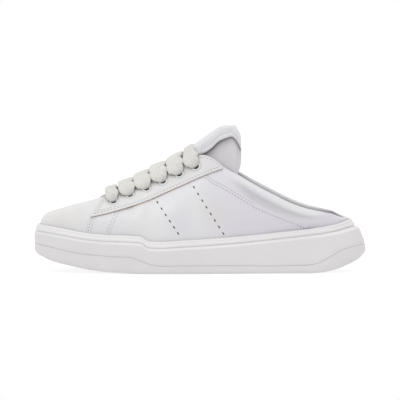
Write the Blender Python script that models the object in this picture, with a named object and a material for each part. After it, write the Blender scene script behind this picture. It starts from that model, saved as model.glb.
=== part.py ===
"""Backless leather sneaker, left foot: outsole, cupsole, insole, upper, eyestays, tongue and lace bars.

Metres, +Z up. The toe points to -X, the outer (lateral) side to -Y, and the sole stands on Z = 0.
"""

import math

import bmesh
import bpy
import numpy as np

MM = 0.001

# Driving dimensions of the sole
SOLE_LENGTH = 278 * MM
BALL_WIDTH = 103 * MM
HEEL_WIDTH = 80 * MM
SOLE_HEIGHT = 43.7 * MM
TOE_SPRING = 14.5 * MM
HEEL_LIFT = 16.5 * MM
TOE_ROUND = 47 * MM
HEEL_ROUND = 39 * MM
TOE_POWER = 2.4
HEEL_POWER = 2.3
BEAD_HEIGHT = 5.8 * MM
BEAD_SWELL = 0.6 * MM
LEDGE_HEIGHT = 2.6 * MM
HEEL_FLARE = 12 * MM
RIM_WALL = 2.8 * MM
LUG_DEPTH = 2 * MM
LUG_GROOVE = 3 * MM
LUG_PITCH = 11 * MM
LUG_MARGIN = 9 * MM
ARCH_DEPTH = 2.5 * MM
OUTSOLE_ROUND = 2.2 * MM

# Driving dimensions of the insole, upper and collar
INSOLE_THICKNESS = 4.5 * MM
COLLAR_FRONT_HEIGHT = 97.5 * MM
THROAT_WIDTH = 36 * MM
WALL = 2 * MM
COLLAR_PAD = 5.5 * MM
COLLAR_ROLL = 1.3 * MM
COLLAR_BAND = 10 * MM
COLLAR_LEAN = 2.5 * MM
QUARTER_BULGE = 1.6 * MM
EDGE_SHOW = 1 * MM
SECTION_POWER = 2.1

# Driving dimensions of the eyestays, tongue and lace
EYESTAY_THICKNESS = 1.2 * MM
EYELET_DIAMETER = 4.8 * MM
EYELET_INSET = 10 * MM
EYELET_PITCH = 13.8 * MM
EYELETS = 6
FIRST_EYELET = 0.2404
TONGUE_STAND = 21.7 * MM
TONGUE_THICKNESS = 6 * MM
TONGUE_HALF_WIDTH = 22 * MM
TONGUE_RAKE = 3 * MM
TAB_THICKNESS = 2 * MM
LACE_WIDTH = 13.6 * MM
LACE_FIRST_WIDTH = 10.8 * MM
LACE_PINCH = 6 * MM
LACE_THICKNESS = 3 * MM
LACE_LEAN = 4.2 * MM

# The space left between pieces that meet
GAP = 0.3 * MM

# Where the cross lugs and the arch recess lie, as shares of the sole's length from the toe
LUG_ZONES = ((0.13, 0.44), (0.66, 0.84))
ARCH_START = 0.47
ARCH_END = 0.64

# The last sections over the tongue's rounded end, as shares of the sole's length from the toe, and how far
# down its arch the end starts to run forward
TONGUE_END = (0.612, 0.619, 0.624)
TONGUE_BEND = 0.6

# How finely the forms are divided
FINE = 400
SOLE_COLUMNS = 38
UPPER_COLUMNS = 44
SECTION_SAMPLES = 90


def table(names, *rows):
    """A table of sections as named columns, one array for each."""
    return dict(zip(names.split(), np.array(rows, dtype=float).T))


# Plan of the sole. along: share of the length from the toe. ball, heel: half width as shares of the
# ball and heel widths, before the ends are rounded. centre: the middle line's offset toward the inner
# side, as a share of the ball width
PLAN = table(
    "along ball heel centre",
    (0.00, 0.373, 0.000, 0.081),
    (0.05, 0.397, 0.000, 0.066),
    (0.10, 0.419, 0.000, 0.051),
    (0.17, 0.451, 0.000, 0.034),
    (0.25, 0.485, 0.000, 0.018),
    (0.32, 0.500, 0.000, 0.006),
    (0.40, 0.493, 0.000, -0.014),
    (0.48, 0.400, 0.084, -0.029),
    (0.57, 0.250, 0.231, -0.037),
    (0.66, 0.120, 0.366, -0.029),
    (0.75, 0.030, 0.464, -0.014),
    (0.85, 0.000, 0.500, -0.002),
    (0.93, 0.000, 0.490, 0.006),
    (1.00, 0.000, 0.475, 0.006),
)

# Lines along the sole's side. toe, heel: the bottom's lift as shares of the toe spring and heel lift.
# groove, bead: heights of the outsole's groove and of the bead's lower line, as shares of the sole height
SIDE = table(
    "along toe heel groove bead",
    (0.000, 1.000, 0.000, 0.535, 0.764),
    (0.044, 0.676, 0.000, 0.490, 0.745),
    (0.108, 0.407, 0.000, 0.406, 0.684),
    (0.162, 0.221, 0.000, 0.364, 0.636),
    (0.198, 0.124, 0.000, 0.346, 0.618),
    (0.250, 0.048, 0.000, 0.325, 0.615),
    (0.295, 0.010, 0.000, 0.311, 0.613),
    (0.318, 0.000, 0.000, 0.257, 0.590),
    (0.332, 0.000, 0.000, 0.222, 0.533),
    (0.346, 0.000, 0.000, 0.187, 0.498),
    (0.366, 0.000, 0.000, 0.162, 0.487),
    (0.440, 0.000, 0.000, 0.158, 0.508),
    (0.577, 0.000, 0.000, 0.156, 0.558),
    (0.780, 0.000, 0.000, 0.150, 0.682),
    (0.838, 0.000, 0.000, 0.170, 0.723),
    (0.862, 0.000, 0.035, 0.208, 0.742),
    (0.888, 0.000, 0.109, 0.295, 0.762),
    (0.928, 0.000, 0.321, 0.430, 0.798),
    (0.965, 0.000, 0.590, 0.500, 0.840),
    (0.990, 0.000, 0.830, 0.522, 0.862),
    (1.000, 0.000, 1.000, 0.526, 0.868),
)

# How far the sole's side stands in, as shares of the flare at the heel, below the ledge, at the bead and
# at the rim, and the height of the cup's floor as a share of the sole height
CUP = table(
    "along ledge bead rim floor",
    (0.00, 0.03, 0.10, 0.18, 0.600),
    (0.10, 0.03, 0.11, 0.19, 0.490),
    (0.20, 0.03, 0.12, 0.20, 0.415),
    (0.30, 0.05, 0.15, 0.23, 0.370),
    (0.40, 0.07, 0.18, 0.25, 0.355),
    (0.60, 0.12, 0.28, 0.33, 0.440),
    (0.80, 0.22, 0.43, 0.48, 0.560),
    (0.90, 0.33, 0.62, 0.69, 0.595),
    (1.00, 0.48, 0.85, 0.98, 0.605),
)

# The topline: where each section of the upper ends. edge: share of the sole's length. half: half gap as a
# share of the throat width. height: share of the collar's front height. lean: share of the rise that runs
# straight. round: share of the run that the section's round takes
TOPLINE = table(
    "along edge half height lean round",
    (0.000, 0.212, 0.000, 0.636, 0.68, 0.17),
    (0.030, 0.213, 0.080, 0.636, 0.64, 0.20),
    (0.080, 0.216, 0.170, 0.637, 0.52, 0.32),
    (0.150, 0.224, 0.264, 0.645, 0.30, 0.62),
    (0.220, 0.248, 0.333, 0.672, 0.22, 0.90),
    (0.280, 0.291, 0.375, 0.723, 0.28, 1.00),
    (0.340, 0.342, 0.403, 0.785, 0.33, 1.00),
    (0.400, 0.396, 0.431, 0.851, 0.38, 1.00),
    (0.450, 0.446, 0.458, 0.918, 0.40, 1.00),
    (0.485, 0.482, 0.481, 0.974, 0.42, 1.00),
    (0.505, 0.503, 0.500, 1.000, 0.42, 1.00),
    (0.525, 0.522, 0.525, 0.992, 0.42, 1.00),
    (0.545, 0.541, 0.558, 0.967, 0.42, 1.00),
    (0.562, 0.558, 0.600, 0.930, 0.41, 1.00),
    (0.580, 0.577, 0.650, 0.891, 0.40, 1.00),
    (0.620, 0.619, 0.736, 0.834, 0.36, 1.00),
    (0.660, 0.658, 0.803, 0.779, 0.34, 1.00),
    (0.720, 0.718, 0.867, 0.695, 0.32, 1.00),
    (0.780, 0.779, 0.889, 0.606, 0.30, 1.00),
    (0.830, 0.827, 0.878, 0.554, 0.30, 1.00),
    (0.880, 0.878, 0.800, 0.516, 0.30, 1.00),
    (0.920, 0.917, 0.720, 0.496, 0.30, 1.00),
    (0.960, 0.955, 0.640, 0.475, 0.30, 1.00),
    (1.000, 0.990, 0.560, 0.460, 0.30, 1.00),
)

# The eyestay's lower edge, as a share of the collar's front height
EYESTAY_EDGE = table(
    "along height",
    (0.155, 0.475),
    (0.220, 0.520),
    (0.280, 0.578),
    (0.340, 0.630),
    (0.400, 0.697),
    (0.450, 0.762),
    (0.505, 0.835),
    (0.545, 0.877),
    (0.570, 0.895),
)

# The eyelets, counted from the toe: how far each stands in from the topline, as a share of the inset
EYELET_ROW = table(
    "number inset",
    (0, 1.94),
    (1, 1.56),
    (2, 1.33),
    (3, 1.11),
    (4, 1.01),
    (5, 1.03),
)

# The tongue. along: share of the sole's length. throat: crest as a share of the collar's front height.
# stand: what its end adds, as a share of how far it stands up. half: share of its half width. foot: height
# of its side edges as a share of the crest there
TONGUE = table(
    "along throat stand half foot",
    (0.185, 0.553, 0.000, 0.80, 0.80),
    (0.205, 0.580, 0.000, 0.84, 0.74),
    (0.224, 0.614, 0.000, 0.88, 0.68),
    (0.241, 0.666, 0.000, 0.92, 0.60),
    (0.256, 0.709, 0.000, 0.95, 0.55),
    (0.342, 0.841, 0.000, 1.00, 0.53),
    (0.428, 0.968, 0.010, 1.00, 0.56),
    (0.482, 1.000, 0.242, 0.97, 0.58),
    (0.530, 1.000, 0.687, 0.92, 0.60),
    (0.562, 1.000, 0.945, 0.90, 0.61),
    (0.583, 1.000, 1.000, 0.93, 0.62),
    (0.600, 1.000, 0.983, 0.97, 0.64),
    (0.612, 1.000, 0.917, 1.00, 0.66),
    (0.619, 1.000, 0.825, 1.00, 0.67),
    (0.624, 1.000, 0.643, 0.98, 0.69),
)

# The tab over the tongue's end. span: how far it reaches down each side, as a share of the tongue's arch
TAB = table(
    "along span",
    (0.500, 0.45),
    (0.519, 0.475),
    (0.535, 0.467),
    (0.556, 0.425),
    (0.580, 0.40),
    (0.598, 0.368),
    (0.610, 0.41),
    (0.624, 0.48),
)


def curve(source, column, at):
    """Smooth curve through one column of a table: cubics whose slopes come from each row's neighbours."""
    along = source["along"]
    value = source[column]
    slope = np.gradient(value, along)
    at = np.clip(np.asarray(at, dtype=float), along[0], along[-1])
    row = np.clip(np.searchsorted(along, at) - 1, 0, len(along) - 2)
    step = along[row + 1] - along[row]
    t = (at - along[row]) / step
    start = value[row] * (1 + 2 * t) * (1 - t) ** 2 + slope[row] * step * t * (1 - t) ** 2
    end = value[row + 1] * t * t * (3 - 2 * t) + slope[row + 1] * step * t * t * (t - 1)
    return start + end


def ramp(low, high, at):
    """0 below low, 1 above high and a smooth step between them."""
    t = np.clip((at - low) / (high - low), 0, 1)
    return t * t * (3 - 2 * t)


def half_width(along):
    """Half width of the sole's plan, with its superellipse ends."""
    body = curve(PLAN, "ball", along) * BALL_WIDTH + curve(PLAN, "heel", along) * HEEL_WIDTH
    toe = 1 - np.clip(along * SOLE_LENGTH / TOE_ROUND, 0, 1)
    heel = 1 - np.clip((1 - along) * SOLE_LENGTH / HEEL_ROUND, 0, 1)
    return body * (1 - toe ** TOE_POWER) ** (1 / TOE_POWER) * (1 - heel ** HEEL_POWER) ** (1 / HEEL_POWER)


def stations(count):
    """Shares of the length, heel to toe, that divide half of the plan into equal steps of its edge."""
    fine = 0.5 + 0.5 * np.cos(np.linspace(0, math.pi, 20 * FINE))
    walked = np.hypot(np.diff(fine) * SOLE_LENGTH, np.diff(half_width(fine)))
    walked = np.concatenate(([0], np.cumsum(walked)))
    return np.interp(np.linspace(0, walked[-1], count + 1), walked, fine)


def plan_loop(count):
    """The plan as a closed loop: heel, outer side, toe, inner side. Each row: along, x, y, inward x and y."""
    half = stations(count)
    along = np.concatenate((half, half[-2:0:-1]))
    side = np.where(np.arange(len(along)) <= count, -1, 1)
    x = (along - 0.5) * SOLE_LENGTH
    y = side * half_width(along) + curve(PLAN, "centre", along) * BALL_WIDTH
    way = np.stack((np.roll(x, -1) - np.roll(x, 1), np.roll(y, -1) - np.roll(y, 1)))
    way = way / np.hypot(way[0], way[1])
    return np.stack((along, x, y, way[1], -way[0]), axis=1)


def ring(loop, inset, height):
    """The plan's loop moved in by inset, at the given height, as points."""
    return np.stack((loop[:, 1] + loop[:, 3] * inset, loop[:, 2] + loop[:, 4] * inset, height), axis=1)


def bottom_line(along):
    """Height of the sole's underside."""
    lift = curve(SIDE, "toe", along) * TOE_SPRING + curve(SIDE, "heel", along) * HEEL_LIFT
    return np.maximum(lift, 0)


def groove_line(along):
    """Height of the groove between outsole and cupsole."""
    return curve(SIDE, "groove", along) * SOLE_HEIGHT


def bead_line(along):
    """Height of the rim bead's lower line."""
    return curve(SIDE, "bead", along) * SOLE_HEIGHT


def rim_line(along):
    """Height of the cup's rim."""
    return bead_line(along) + BEAD_HEIGHT


def floor_line(along):
    """Height of the cup's floor."""
    return curve(CUP, "floor", along) * SOLE_HEIGHT


def rim_inset(along):
    """How far the rim stands in from the plan."""
    return curve(CUP, "rim", along) * HEEL_FLARE


def seat_inset(along):
    """How far the upper's outer face stands in from the plan where it sits in the cup."""
    return rim_inset(along) + RIM_WALL + GAP


def topline(along):
    """Place, half gap and height of the upper's top edge for each section."""
    x = (curve(TOPLINE, "edge", along) - 0.5) * SOLE_LENGTH
    half = curve(TOPLINE, "half", along) * THROAT_WIDTH
    height = curve(TOPLINE, "height", along) * COLLAR_FRONT_HEIGHT
    return x, half, np.maximum(height, rim_line(along) + EDGE_SHOW)


def throat_centre(along):
    """The throat's middle line: half of the plan's own bend."""
    return curve(PLAN, "centre", along) * BALL_WIDTH / 2


def collar_share(along):
    """1 where the collar is padded, 0 in front of it and fading out in the cup at the heel."""
    return ramp(0.57, 0.66, along) * (1 - ramp(0.80, 0.92, along))


LOOP = plan_loop(FINE)


def loop_at(u):
    """The fine plan at u, its share of the way round from the heel: along, x, y and the inward way."""
    place = np.mod(u, 1) * len(LOOP)
    low = int(place) % len(LOOP)
    part = place - int(place)
    return LOOP[low] * (1 - part) + LOOP[(low + 1) % len(LOOP)] * part


def loop_share(along, side):
    """The share u of the way round at which the plan is at this share of the length, on one side."""
    half = LOOP[:FINE + 1, 0]
    u = np.interp(along, half[::-1], np.arange(FINE, -1, -1)) / len(LOOP)
    return u if side < 0 else 1 - u


def upper_section(u):
    """One section of the upper's outer face and the distance walked along it, from the cup to the topline.

    It rises straight inside the cup, then rounds over: z = rise * ((1 - lean) * round(r) + lean * r),
    where round(r) = (1 - (1 - r / share)^p)^(1 / p) and r is the share of the way in to the topline.
    """
    along, x, y, in_x, in_y = loop_at(u)
    side = -1 if np.mod(u, 1) < 0.5 else 1
    seat = seat_inset(along)
    base = np.array((x + in_x * seat, y + in_y * seat))
    low = floor_line(along) + GAP
    shoulder = rim_line(along) + EDGE_SHOW / 2
    edge_x, edge_half, edge_height = topline(along)
    edge = np.array((edge_x, throat_centre(along) + side * edge_half))
    heel = ramp(0.85, 0.93, along)
    edge = edge * (1 - heel) + (base + np.array((in_x, in_y)) * COLLAR_LEAN) * heel
    r = np.linspace(0, 1, SECTION_SAMPLES) ** 2
    lean = curve(TOPLINE, "lean", along)
    inner = 1 - np.clip(r / curve(TOPLINE, "round", along), 0, 1)
    rise = (1 - lean) * (1 - inner ** SECTION_POWER) ** (1 / SECTION_POWER) + lean * r
    flat = base + (edge - base) * r[:, None]
    height = shoulder + (edge_height - shoulder) * rise
    bulge = QUARTER_BULGE * np.sin(math.pi * rise) * ramp(0.1, 0.3, along) * (1 - ramp(0.8, 0.92, along))
    wall_height = np.linspace(low, shoulder, 12)[:-1]
    wall = np.stack((np.full(11, base[0]), np.full(11, base[1]), wall_height), axis=1)
    arch = np.stack((flat[:, 0] - in_x * bulge, flat[:, 1] - in_y * bulge, height), axis=1)
    points = np.concatenate((wall, arch))
    walked = np.concatenate(([0], np.cumsum(np.linalg.norm(np.diff(points, axis=0), axis=1))))
    below = walked[-1] - walked
    roll = np.exp(-((below - 0.4 * COLLAR_BAND) / (0.4 * COLLAR_BAND)) ** 2)
    trough = 0.4 * np.exp(-((below - 1.4 * COLLAR_BAND) / (0.5 * COLLAR_BAND)) ** 2)
    swell = COLLAR_ROLL * (roll - trough) * collar_share(along)
    points[:, 0] -= in_x * swell
    points[:, 1] -= in_y * swell
    return points, walked


def upper_face(us, vs):
    """The upper's outer face at shares us round the shoe and vs up each section."""
    rows = []
    for u, v in zip(us, np.broadcast_to(vs, (len(us), np.shape(vs)[-1]))):
        points, walked = upper_section(u)
        at = np.clip(v, 0, 1) * walked[-1]
        rows.append(np.stack([np.interp(at, walked, points[:, k]) for k in range(3)], axis=1))
    return np.array(rows)


def outward(us, vs):
    """Unit normals of the upper's outer face, from its neighbours round and up."""
    step = 0.004
    us = np.asarray(us)
    vs = np.broadcast_to(vs, (len(us), np.shape(vs)[-1]))
    round_way = upper_face(us + step, vs) - upper_face(us - step, vs)
    up_way = upper_face(us, vs + step * 5) - upper_face(us, vs - step * 5)
    normal = np.cross(round_way, up_way)
    return -normal / np.linalg.norm(normal, axis=2, keepdims=True)


def material(name, colour, roughness):
    """A plain material with the part's colour and roughness."""
    made = bpy.data.materials.new(name)
    made.use_nodes = True
    shader = made.node_tree.nodes["Principled BSDF"]
    shader.inputs["Base Color"].default_value = (*colour, 1)
    shader.inputs["Roughness"].default_value = roughness
    shader.inputs["Metallic"].default_value = 0
    made.diffuse_color = (*colour, 1)
    return made


def new_object(name, points, faces, home, surface):
    """A mesh object from its points and faces, with its faces turned outward."""
    mesh = bpy.data.meshes.new(name)
    mesh.from_pydata([tuple(point) for point in points], [], faces)
    shell = bmesh.new()
    shell.from_mesh(mesh)
    bmesh.ops.recalc_face_normals(shell, faces=shell.faces)
    shell.to_mesh(mesh)
    shell.free()
    made = bpy.data.objects.new(name, mesh)
    made.data.materials.append(surface)
    home.objects.link(made)
    return made


def shade(made, angle=40):
    """Smooth shading with sharp edges above the angle in degrees."""
    bpy.context.view_layer.objects.active = made
    made.select_set(True)
    bpy.ops.object.shade_smooth()
    made.data.set_sharp_from_angle(angle=math.radians(angle))
    made.select_set(False)


def band_faces(first, second):
    """Quads between two closed loops of point numbers."""
    count = len(first)
    return [(first[i], first[(i + 1) % count], second[(i + 1) % count], second[i]) for i in range(count)]


def ladder_faces(loop):
    """A closed loop of the plan filled with strips that run from its outer to its inner side."""
    half = len(loop) // 2
    faces = [(loop[0], loop[1], loop[-1]), (loop[half - 1], loop[half], loop[half + 1])]
    for i in range(1, half - 1):
        faces.append((loop[i], loop[i + 1], loop[-i - 1], loop[-i]))
    return faces


def stack_solid(name, rings, home, surface):
    """A closed solid from a stack of rings, with its first and last filled by strips."""
    count = len(rings[0])
    loops = [list(range(k * count, (k + 1) * count)) for k in range(len(rings))]
    faces = ladder_faces(loops[0]) + ladder_faces(loops[-1])
    for first, second in zip(loops, loops[1:]):
        faces += band_faces(first, second)
    return new_object(name, np.concatenate(rings), faces, home, surface)


def sheet_solid(name, outer, inner, home, surface):
    """A closed solid between two open grids of points of the same shape."""
    rows, columns = outer.shape[:2]
    number = np.arange(2 * rows * columns).reshape(2, rows, columns)
    faces = []
    for sheet in number:
        for i in range(rows - 1):
            for j in range(columns - 1):
                faces.append((sheet[i, j], sheet[i, j + 1], sheet[i + 1, j + 1], sheet[i + 1, j]))
    edges = []
    for sheet in number:
        edges.append(np.concatenate((sheet[0, :-1], sheet[:-1, -1], sheet[-1, :0:-1], sheet[:0:-1, 0])))
    faces += band_faces(list(edges[0]), list(edges[1]))
    points = np.concatenate((outer.reshape(-1, 3), inner.reshape(-1, 3)))
    return new_object(name, points, [tuple(int(k) for k in face) for face in faces], home, surface)


def tube_solid(name, sections, home, surface):
    """A closed solid through closed sections, with its two ends filled."""
    count = len(sections[0])
    loops = [list(range(k * count, (k + 1) * count)) for k in range(len(sections))]
    faces = [tuple(loops[0]), tuple(loops[-1])]
    for first, second in zip(loops, loops[1:]):
        faces += band_faces(first, second)
    return new_object(name, np.concatenate(sections), faces, home, surface)


def cut(made, cutter):
    """Takes the cutter's form out of a piece, with a live exact Boolean."""
    boolean = made.modifiers.new("cut", "BOOLEAN")
    boolean.operation = "DIFFERENCE"
    boolean.solver = "EXACT"
    boolean.object = cutter
    cutter.hide_render = True
    cutter.display_type = "WIRE"


def joined_boxes(name, boxes, home, surface):
    """One cutter object from several boxes, each given by its low and high corner."""
    shell = bmesh.new()
    for low, high in boxes:
        made = bmesh.ops.create_cube(shell, size=1)["verts"]
        low = np.array(low)
        high = np.array(high)
        for vert in made:
            vert.co = tuple((low + high) / 2 + np.array(vert.co) * (high - low))
    mesh = bpy.data.meshes.new(name)
    shell.to_mesh(mesh)
    shell.free()
    made = bpy.data.objects.new(name, mesh)
    made.data.materials.append(surface)
    home.objects.link(made)
    return made


def build_outsole(home, cutters, surface):
    """The outsole below the groove, its cross lugs and its arch recess."""
    loop = plan_loop(SOLE_COLUMNS)
    along = loop[:, 0]
    low = bottom_line(along)
    top = groove_line(along) - GAP
    rings = (
        ring(loop, np.full(len(along), OUTSOLE_ROUND), low),
        ring(loop, np.full(len(along), OUTSOLE_ROUND * 0.3), low + (top - low) * 0.3),
        ring(loop, np.full(len(along), OUTSOLE_ROUND * 0.2), top),
    )
    made = stack_solid("outsole", rings, home, surface)
    boxes = []
    for first, last in LUG_ZONES:
        count = int((last - first) * SOLE_LENGTH / LUG_PITCH)
        for k in range(count + 1):
            share = first + k * LUG_PITCH / SOLE_LENGTH
            x = (share - 0.5) * SOLE_LENGTH
            centre = float(curve(PLAN, "centre", share)) * BALL_WIDTH
            reach = float(half_width(share)) - LUG_MARGIN
            low = (x - LUG_GROOVE / 2, centre - reach, -LUG_DEPTH)
            high = (x + LUG_GROOVE / 2, centre + reach, float(bottom_line(share)) + LUG_DEPTH)
            boxes.append((low, high))
    low = ((ARCH_START - 0.5) * SOLE_LENGTH, -0.3 * HEEL_WIDTH, -LUG_DEPTH)
    high = ((ARCH_END - 0.5) * SOLE_LENGTH, BALL_WIDTH, ARCH_DEPTH)
    boxes.append((low, high))
    cut(made, joined_boxes("outsole_cutter", boxes, cutters, surface))
    return made


def build_cupsole(home, surface):
    """The cup: flared side, chamfered ledge, rim bead, inner wall and floor."""
    loop = plan_loop(SOLE_COLUMNS)
    along = loop[:, 0]
    bead = bead_line(along)
    rim = rim_line(along)
    ledge_in = curve(CUP, "ledge", along) * HEEL_FLARE
    bead_in = curve(CUP, "bead", along) * HEEL_FLARE
    rim_in = rim_inset(along)
    inner = rim_in + RIM_WALL
    groove = groove_line(along)
    rings = (
        ring(loop, np.full(len(along), OUTSOLE_ROUND * 0.3), groove),
        ring(loop, np.zeros(len(along)), groove + 0.15 * (bead - groove)),
        ring(loop, ledge_in, bead - LEDGE_HEIGHT),
        ring(loop, bead_in, bead),
        ring(loop, bead_in - BEAD_SWELL, bead + 0.15 * BEAD_HEIGHT),
        ring(loop, rim_in - BEAD_SWELL, bead + 0.7 * BEAD_HEIGHT),
        ring(loop, rim_in + BEAD_SWELL, rim),
        ring(loop, inner, rim - BEAD_SWELL / 2),
        ring(loop, inner, floor_line(along)),
    )
    return stack_solid("cupsole", rings, home, surface)


def build_insole(home, surface):
    """The footbed: it fills the upper's foot and follows the cup's floor."""
    loop = plan_loop(SOLE_COLUMNS)
    along = loop[:, 0]
    inset = seat_inset(along) + WALL + GAP
    low = floor_line(along) + GAP
    rings = (
        ring(loop, inset + 1.5 * GAP, low),
        ring(loop, inset + 1.5 * GAP, low + 0.7 * INSOLE_THICKNESS),
        ring(loop, inset + INSOLE_THICKNESS * 0.4, low + INSOLE_THICKNESS),
    )
    return stack_solid("insole", rings, home, surface)


def build_upper(home, surface):
    """The upper as one ring of closed sections: outer face, rounded top edge and inner face."""
    count = 2 * UPPER_COLUMNS
    us = np.arange(count) / count
    outer_v = np.linspace(0, 1, 12)
    inner_v = np.linspace(1, 0, 8)
    outer = upper_face(us, outer_v)
    face = upper_face(us, inner_v)
    normal = outward(us, inner_v)
    along = np.array([loop_at(u)[0] for u in us])
    length = np.array([upper_section(u)[1][-1] for u in us])
    below = (1 - inner_v)[None, :] * length[:, None]
    pad = (COLLAR_PAD - WALL) * collar_share(along)[:, None] * np.exp(-(below / COLLAR_BAND) ** 2)
    wall = WALL + pad
    inner = face - normal * wall[:, :, None]
    up = outer[:, -1] - outer[:, -2]
    up = up / np.linalg.norm(up, axis=1, keepdims=True)
    crown = (outer[:, -1] + inner[:, 0]) / 2 + up * wall[:, :1] * 0.4
    sections = np.concatenate((outer, crown[:, None], inner), axis=1)
    rows = sections.shape[1]
    number = np.arange(count * rows).reshape(count, rows)
    faces = []
    for i in range(count):
        for j in range(rows):
            k = (j + 1) % rows
            m = (i + 1) % count
            faces.append((int(number[i, j]), int(number[m, j]), int(number[m, k]), int(number[i, k])))
    return new_object("upper", sections.reshape(-1, 3), faces, home, surface)


def upper_height_share(u, height):
    """The share up one section at which it reaches a height."""
    points, walked = upper_section(u)
    return float(np.interp(height, points[:, 2], walked / walked[-1]))


def eyestay_grid(side, distance, columns=20, rows=6):
    """A grid over the eyestay at a distance from the upper's outer face."""
    along = np.linspace(EYESTAY_EDGE["along"][0], EYESTAY_EDGE["along"][-1], columns)
    us = np.array([loop_share(share, side) for share in along])
    low = curve(EYESTAY_EDGE, "height", along) * COLLAR_FRONT_HEIGHT
    low_v = np.array([upper_height_share(u, height) for u, height in zip(us, low)])
    vs = low_v[:, None] + (1 - low_v[:, None]) * np.linspace(0, 1, rows)[None, :]
    return upper_face(us, vs) + outward(us, vs) * distance


def build_eyestay(name, side, home, surface):
    """A lace facing laid over the quarter, from the upper's own function."""
    outer = eyestay_grid(side, GAP + EYESTAY_THICKNESS)
    inner = eyestay_grid(side, GAP)
    return sheet_solid(name, outer, inner, home, surface)


def eyelet_column(number):
    """x of the eyelets with this number, counted from the toe."""
    return (FIRST_EYELET - 0.5) * SOLE_LENGTH + number * EYELET_PITCH


def eyelet_place(number, side):
    """u and v on the upper of the eyelet with this number."""
    target = eyelet_column(number)
    inset = EYELET_ROW["inset"][number] * EYELET_INSET
    along = np.linspace(0.16, 0.58, 60)
    us = [loop_share(share, side) for share in along]
    vs = [1 - inset / upper_section(u)[1][-1] for u in us]
    xs = [upper_face([u], [[v]])[0, 0, 0] for u, v in zip(us, vs)]
    return float(np.interp(target, xs, us)), float(np.interp(target, xs, vs))


def crest_height(share):
    """Height of the tongue's middle line."""
    return curve(TONGUE, "throat", share) * COLLAR_FRONT_HEIGHT + curve(TONGUE, "stand", share) * TONGUE_STAND


def tongue_crest(x):
    """The tongue's middle line at x, as a point."""
    share = x / SOLE_LENGTH + 0.5
    return np.array((x, float(throat_centre(share)), float(crest_height(share))))


def tongue_grid(depth, share, span, columns):
    """A grid over the tongue at a depth under its outer face, at the given shares of the length."""
    share = share[:, None]
    turn = np.linspace(-span, span, columns).reshape(columns, -1).T * math.pi / 2
    crest = crest_height(share)
    foot = curve(TONGUE, "foot", share) * crest
    half = curve(TONGUE, "half", share) * TONGUE_HALF_WIDTH
    bend = np.maximum(np.abs(turn) * 2 / math.pi - TONGUE_BEND, 0) / (1 - TONGUE_BEND)
    x = (share - 0.5) * SOLE_LENGTH - TONGUE_RAKE * bend ** 2 * ramp(*TONGUE_END[::2], share)
    y = throat_centre(share) + (half - depth) * np.sin(turn)
    z = foot + (crest - foot - depth) * np.cos(turn)
    return np.stack((x, y, z), axis=2)


def build_tongue(home, surface):
    """The padded tongue: an arched sheet from under the vamp to its upright end."""
    share = np.concatenate((np.linspace(TONGUE["along"][0], 0.6, 16), TONGUE_END))
    outer = tongue_grid(0, share, 1, 13)
    inner = tongue_grid(TONGUE_THICKNESS, share, 1, 13)
    return sheet_solid("tongue", outer, inner, home, surface)


def build_tongue_tab(home, surface):
    """The leather patch over the tongue's end."""
    last_bar = eyelet_column(EYELETS - 1) - LACE_LEAN + 0.55 * LACE_WIDTH + GAP
    first = max(TAB["along"][0], last_bar / SOLE_LENGTH + 0.5)
    share = np.concatenate((np.linspace(first, 0.6, 8), TONGUE_END))
    outer = tongue_grid(-GAP - TAB_THICKNESS, share, curve(TAB, "span", share), 9)
    inner = tongue_grid(-GAP, share, curve(TAB, "span", share), 9)
    return sheet_solid("tongue_tab", outer, inner, home, surface)


def through(points, count):
    """Points evenly spaced along a smooth curve through the given points."""
    points = np.array(points)
    steps = np.linalg.norm(np.diff(points, axis=0), axis=1)
    along = np.concatenate(([0], np.cumsum(steps)))
    even = np.linspace(0, along[-1], count)
    columns = {"along": along, "x": points[:, 0], "y": points[:, 1], "z": points[:, 2]}
    return np.stack([curve(columns, name, even) for name in "xyz"], axis=1)


def lace_path(number):
    """The middle line of one lace bar: up from an eyelet, over the tongue and down to its pair."""
    lift = 4 * GAP + EYESTAY_THICKNESS + LACE_THICKNESS / 2
    sides = []
    for side in (-1, 1):
        u, v = eyelet_place(number, side)
        vs = np.array([[v, v + (1 - v) * 0.5, 1]])
        sides.append((upper_face([u], vs) + outward([u], vs) * lift)[0])
    crest_x = (sides[0][0, 0] + sides[1][0, 0]) / 2 - LACE_LEAN
    crest = tongue_crest(crest_x)
    if number == 0:
        crest = 2 * tongue_crest(crest_x + EYELET_PITCH) - tongue_crest(crest_x + 2 * EYELET_PITCH)
        crest[2] += LACE_THICKNESS / 2
    crest[2] += 3 * GAP + LACE_THICKNESS / 2
    for points in sides:
        lean = np.array((0, 0.45, 0.85))
        points[:, 0] = points[0, 0] + lean * (crest_x - points[0, 0])
    return through((*sides[0], crest, *sides[1][::-1]), 15)


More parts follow.
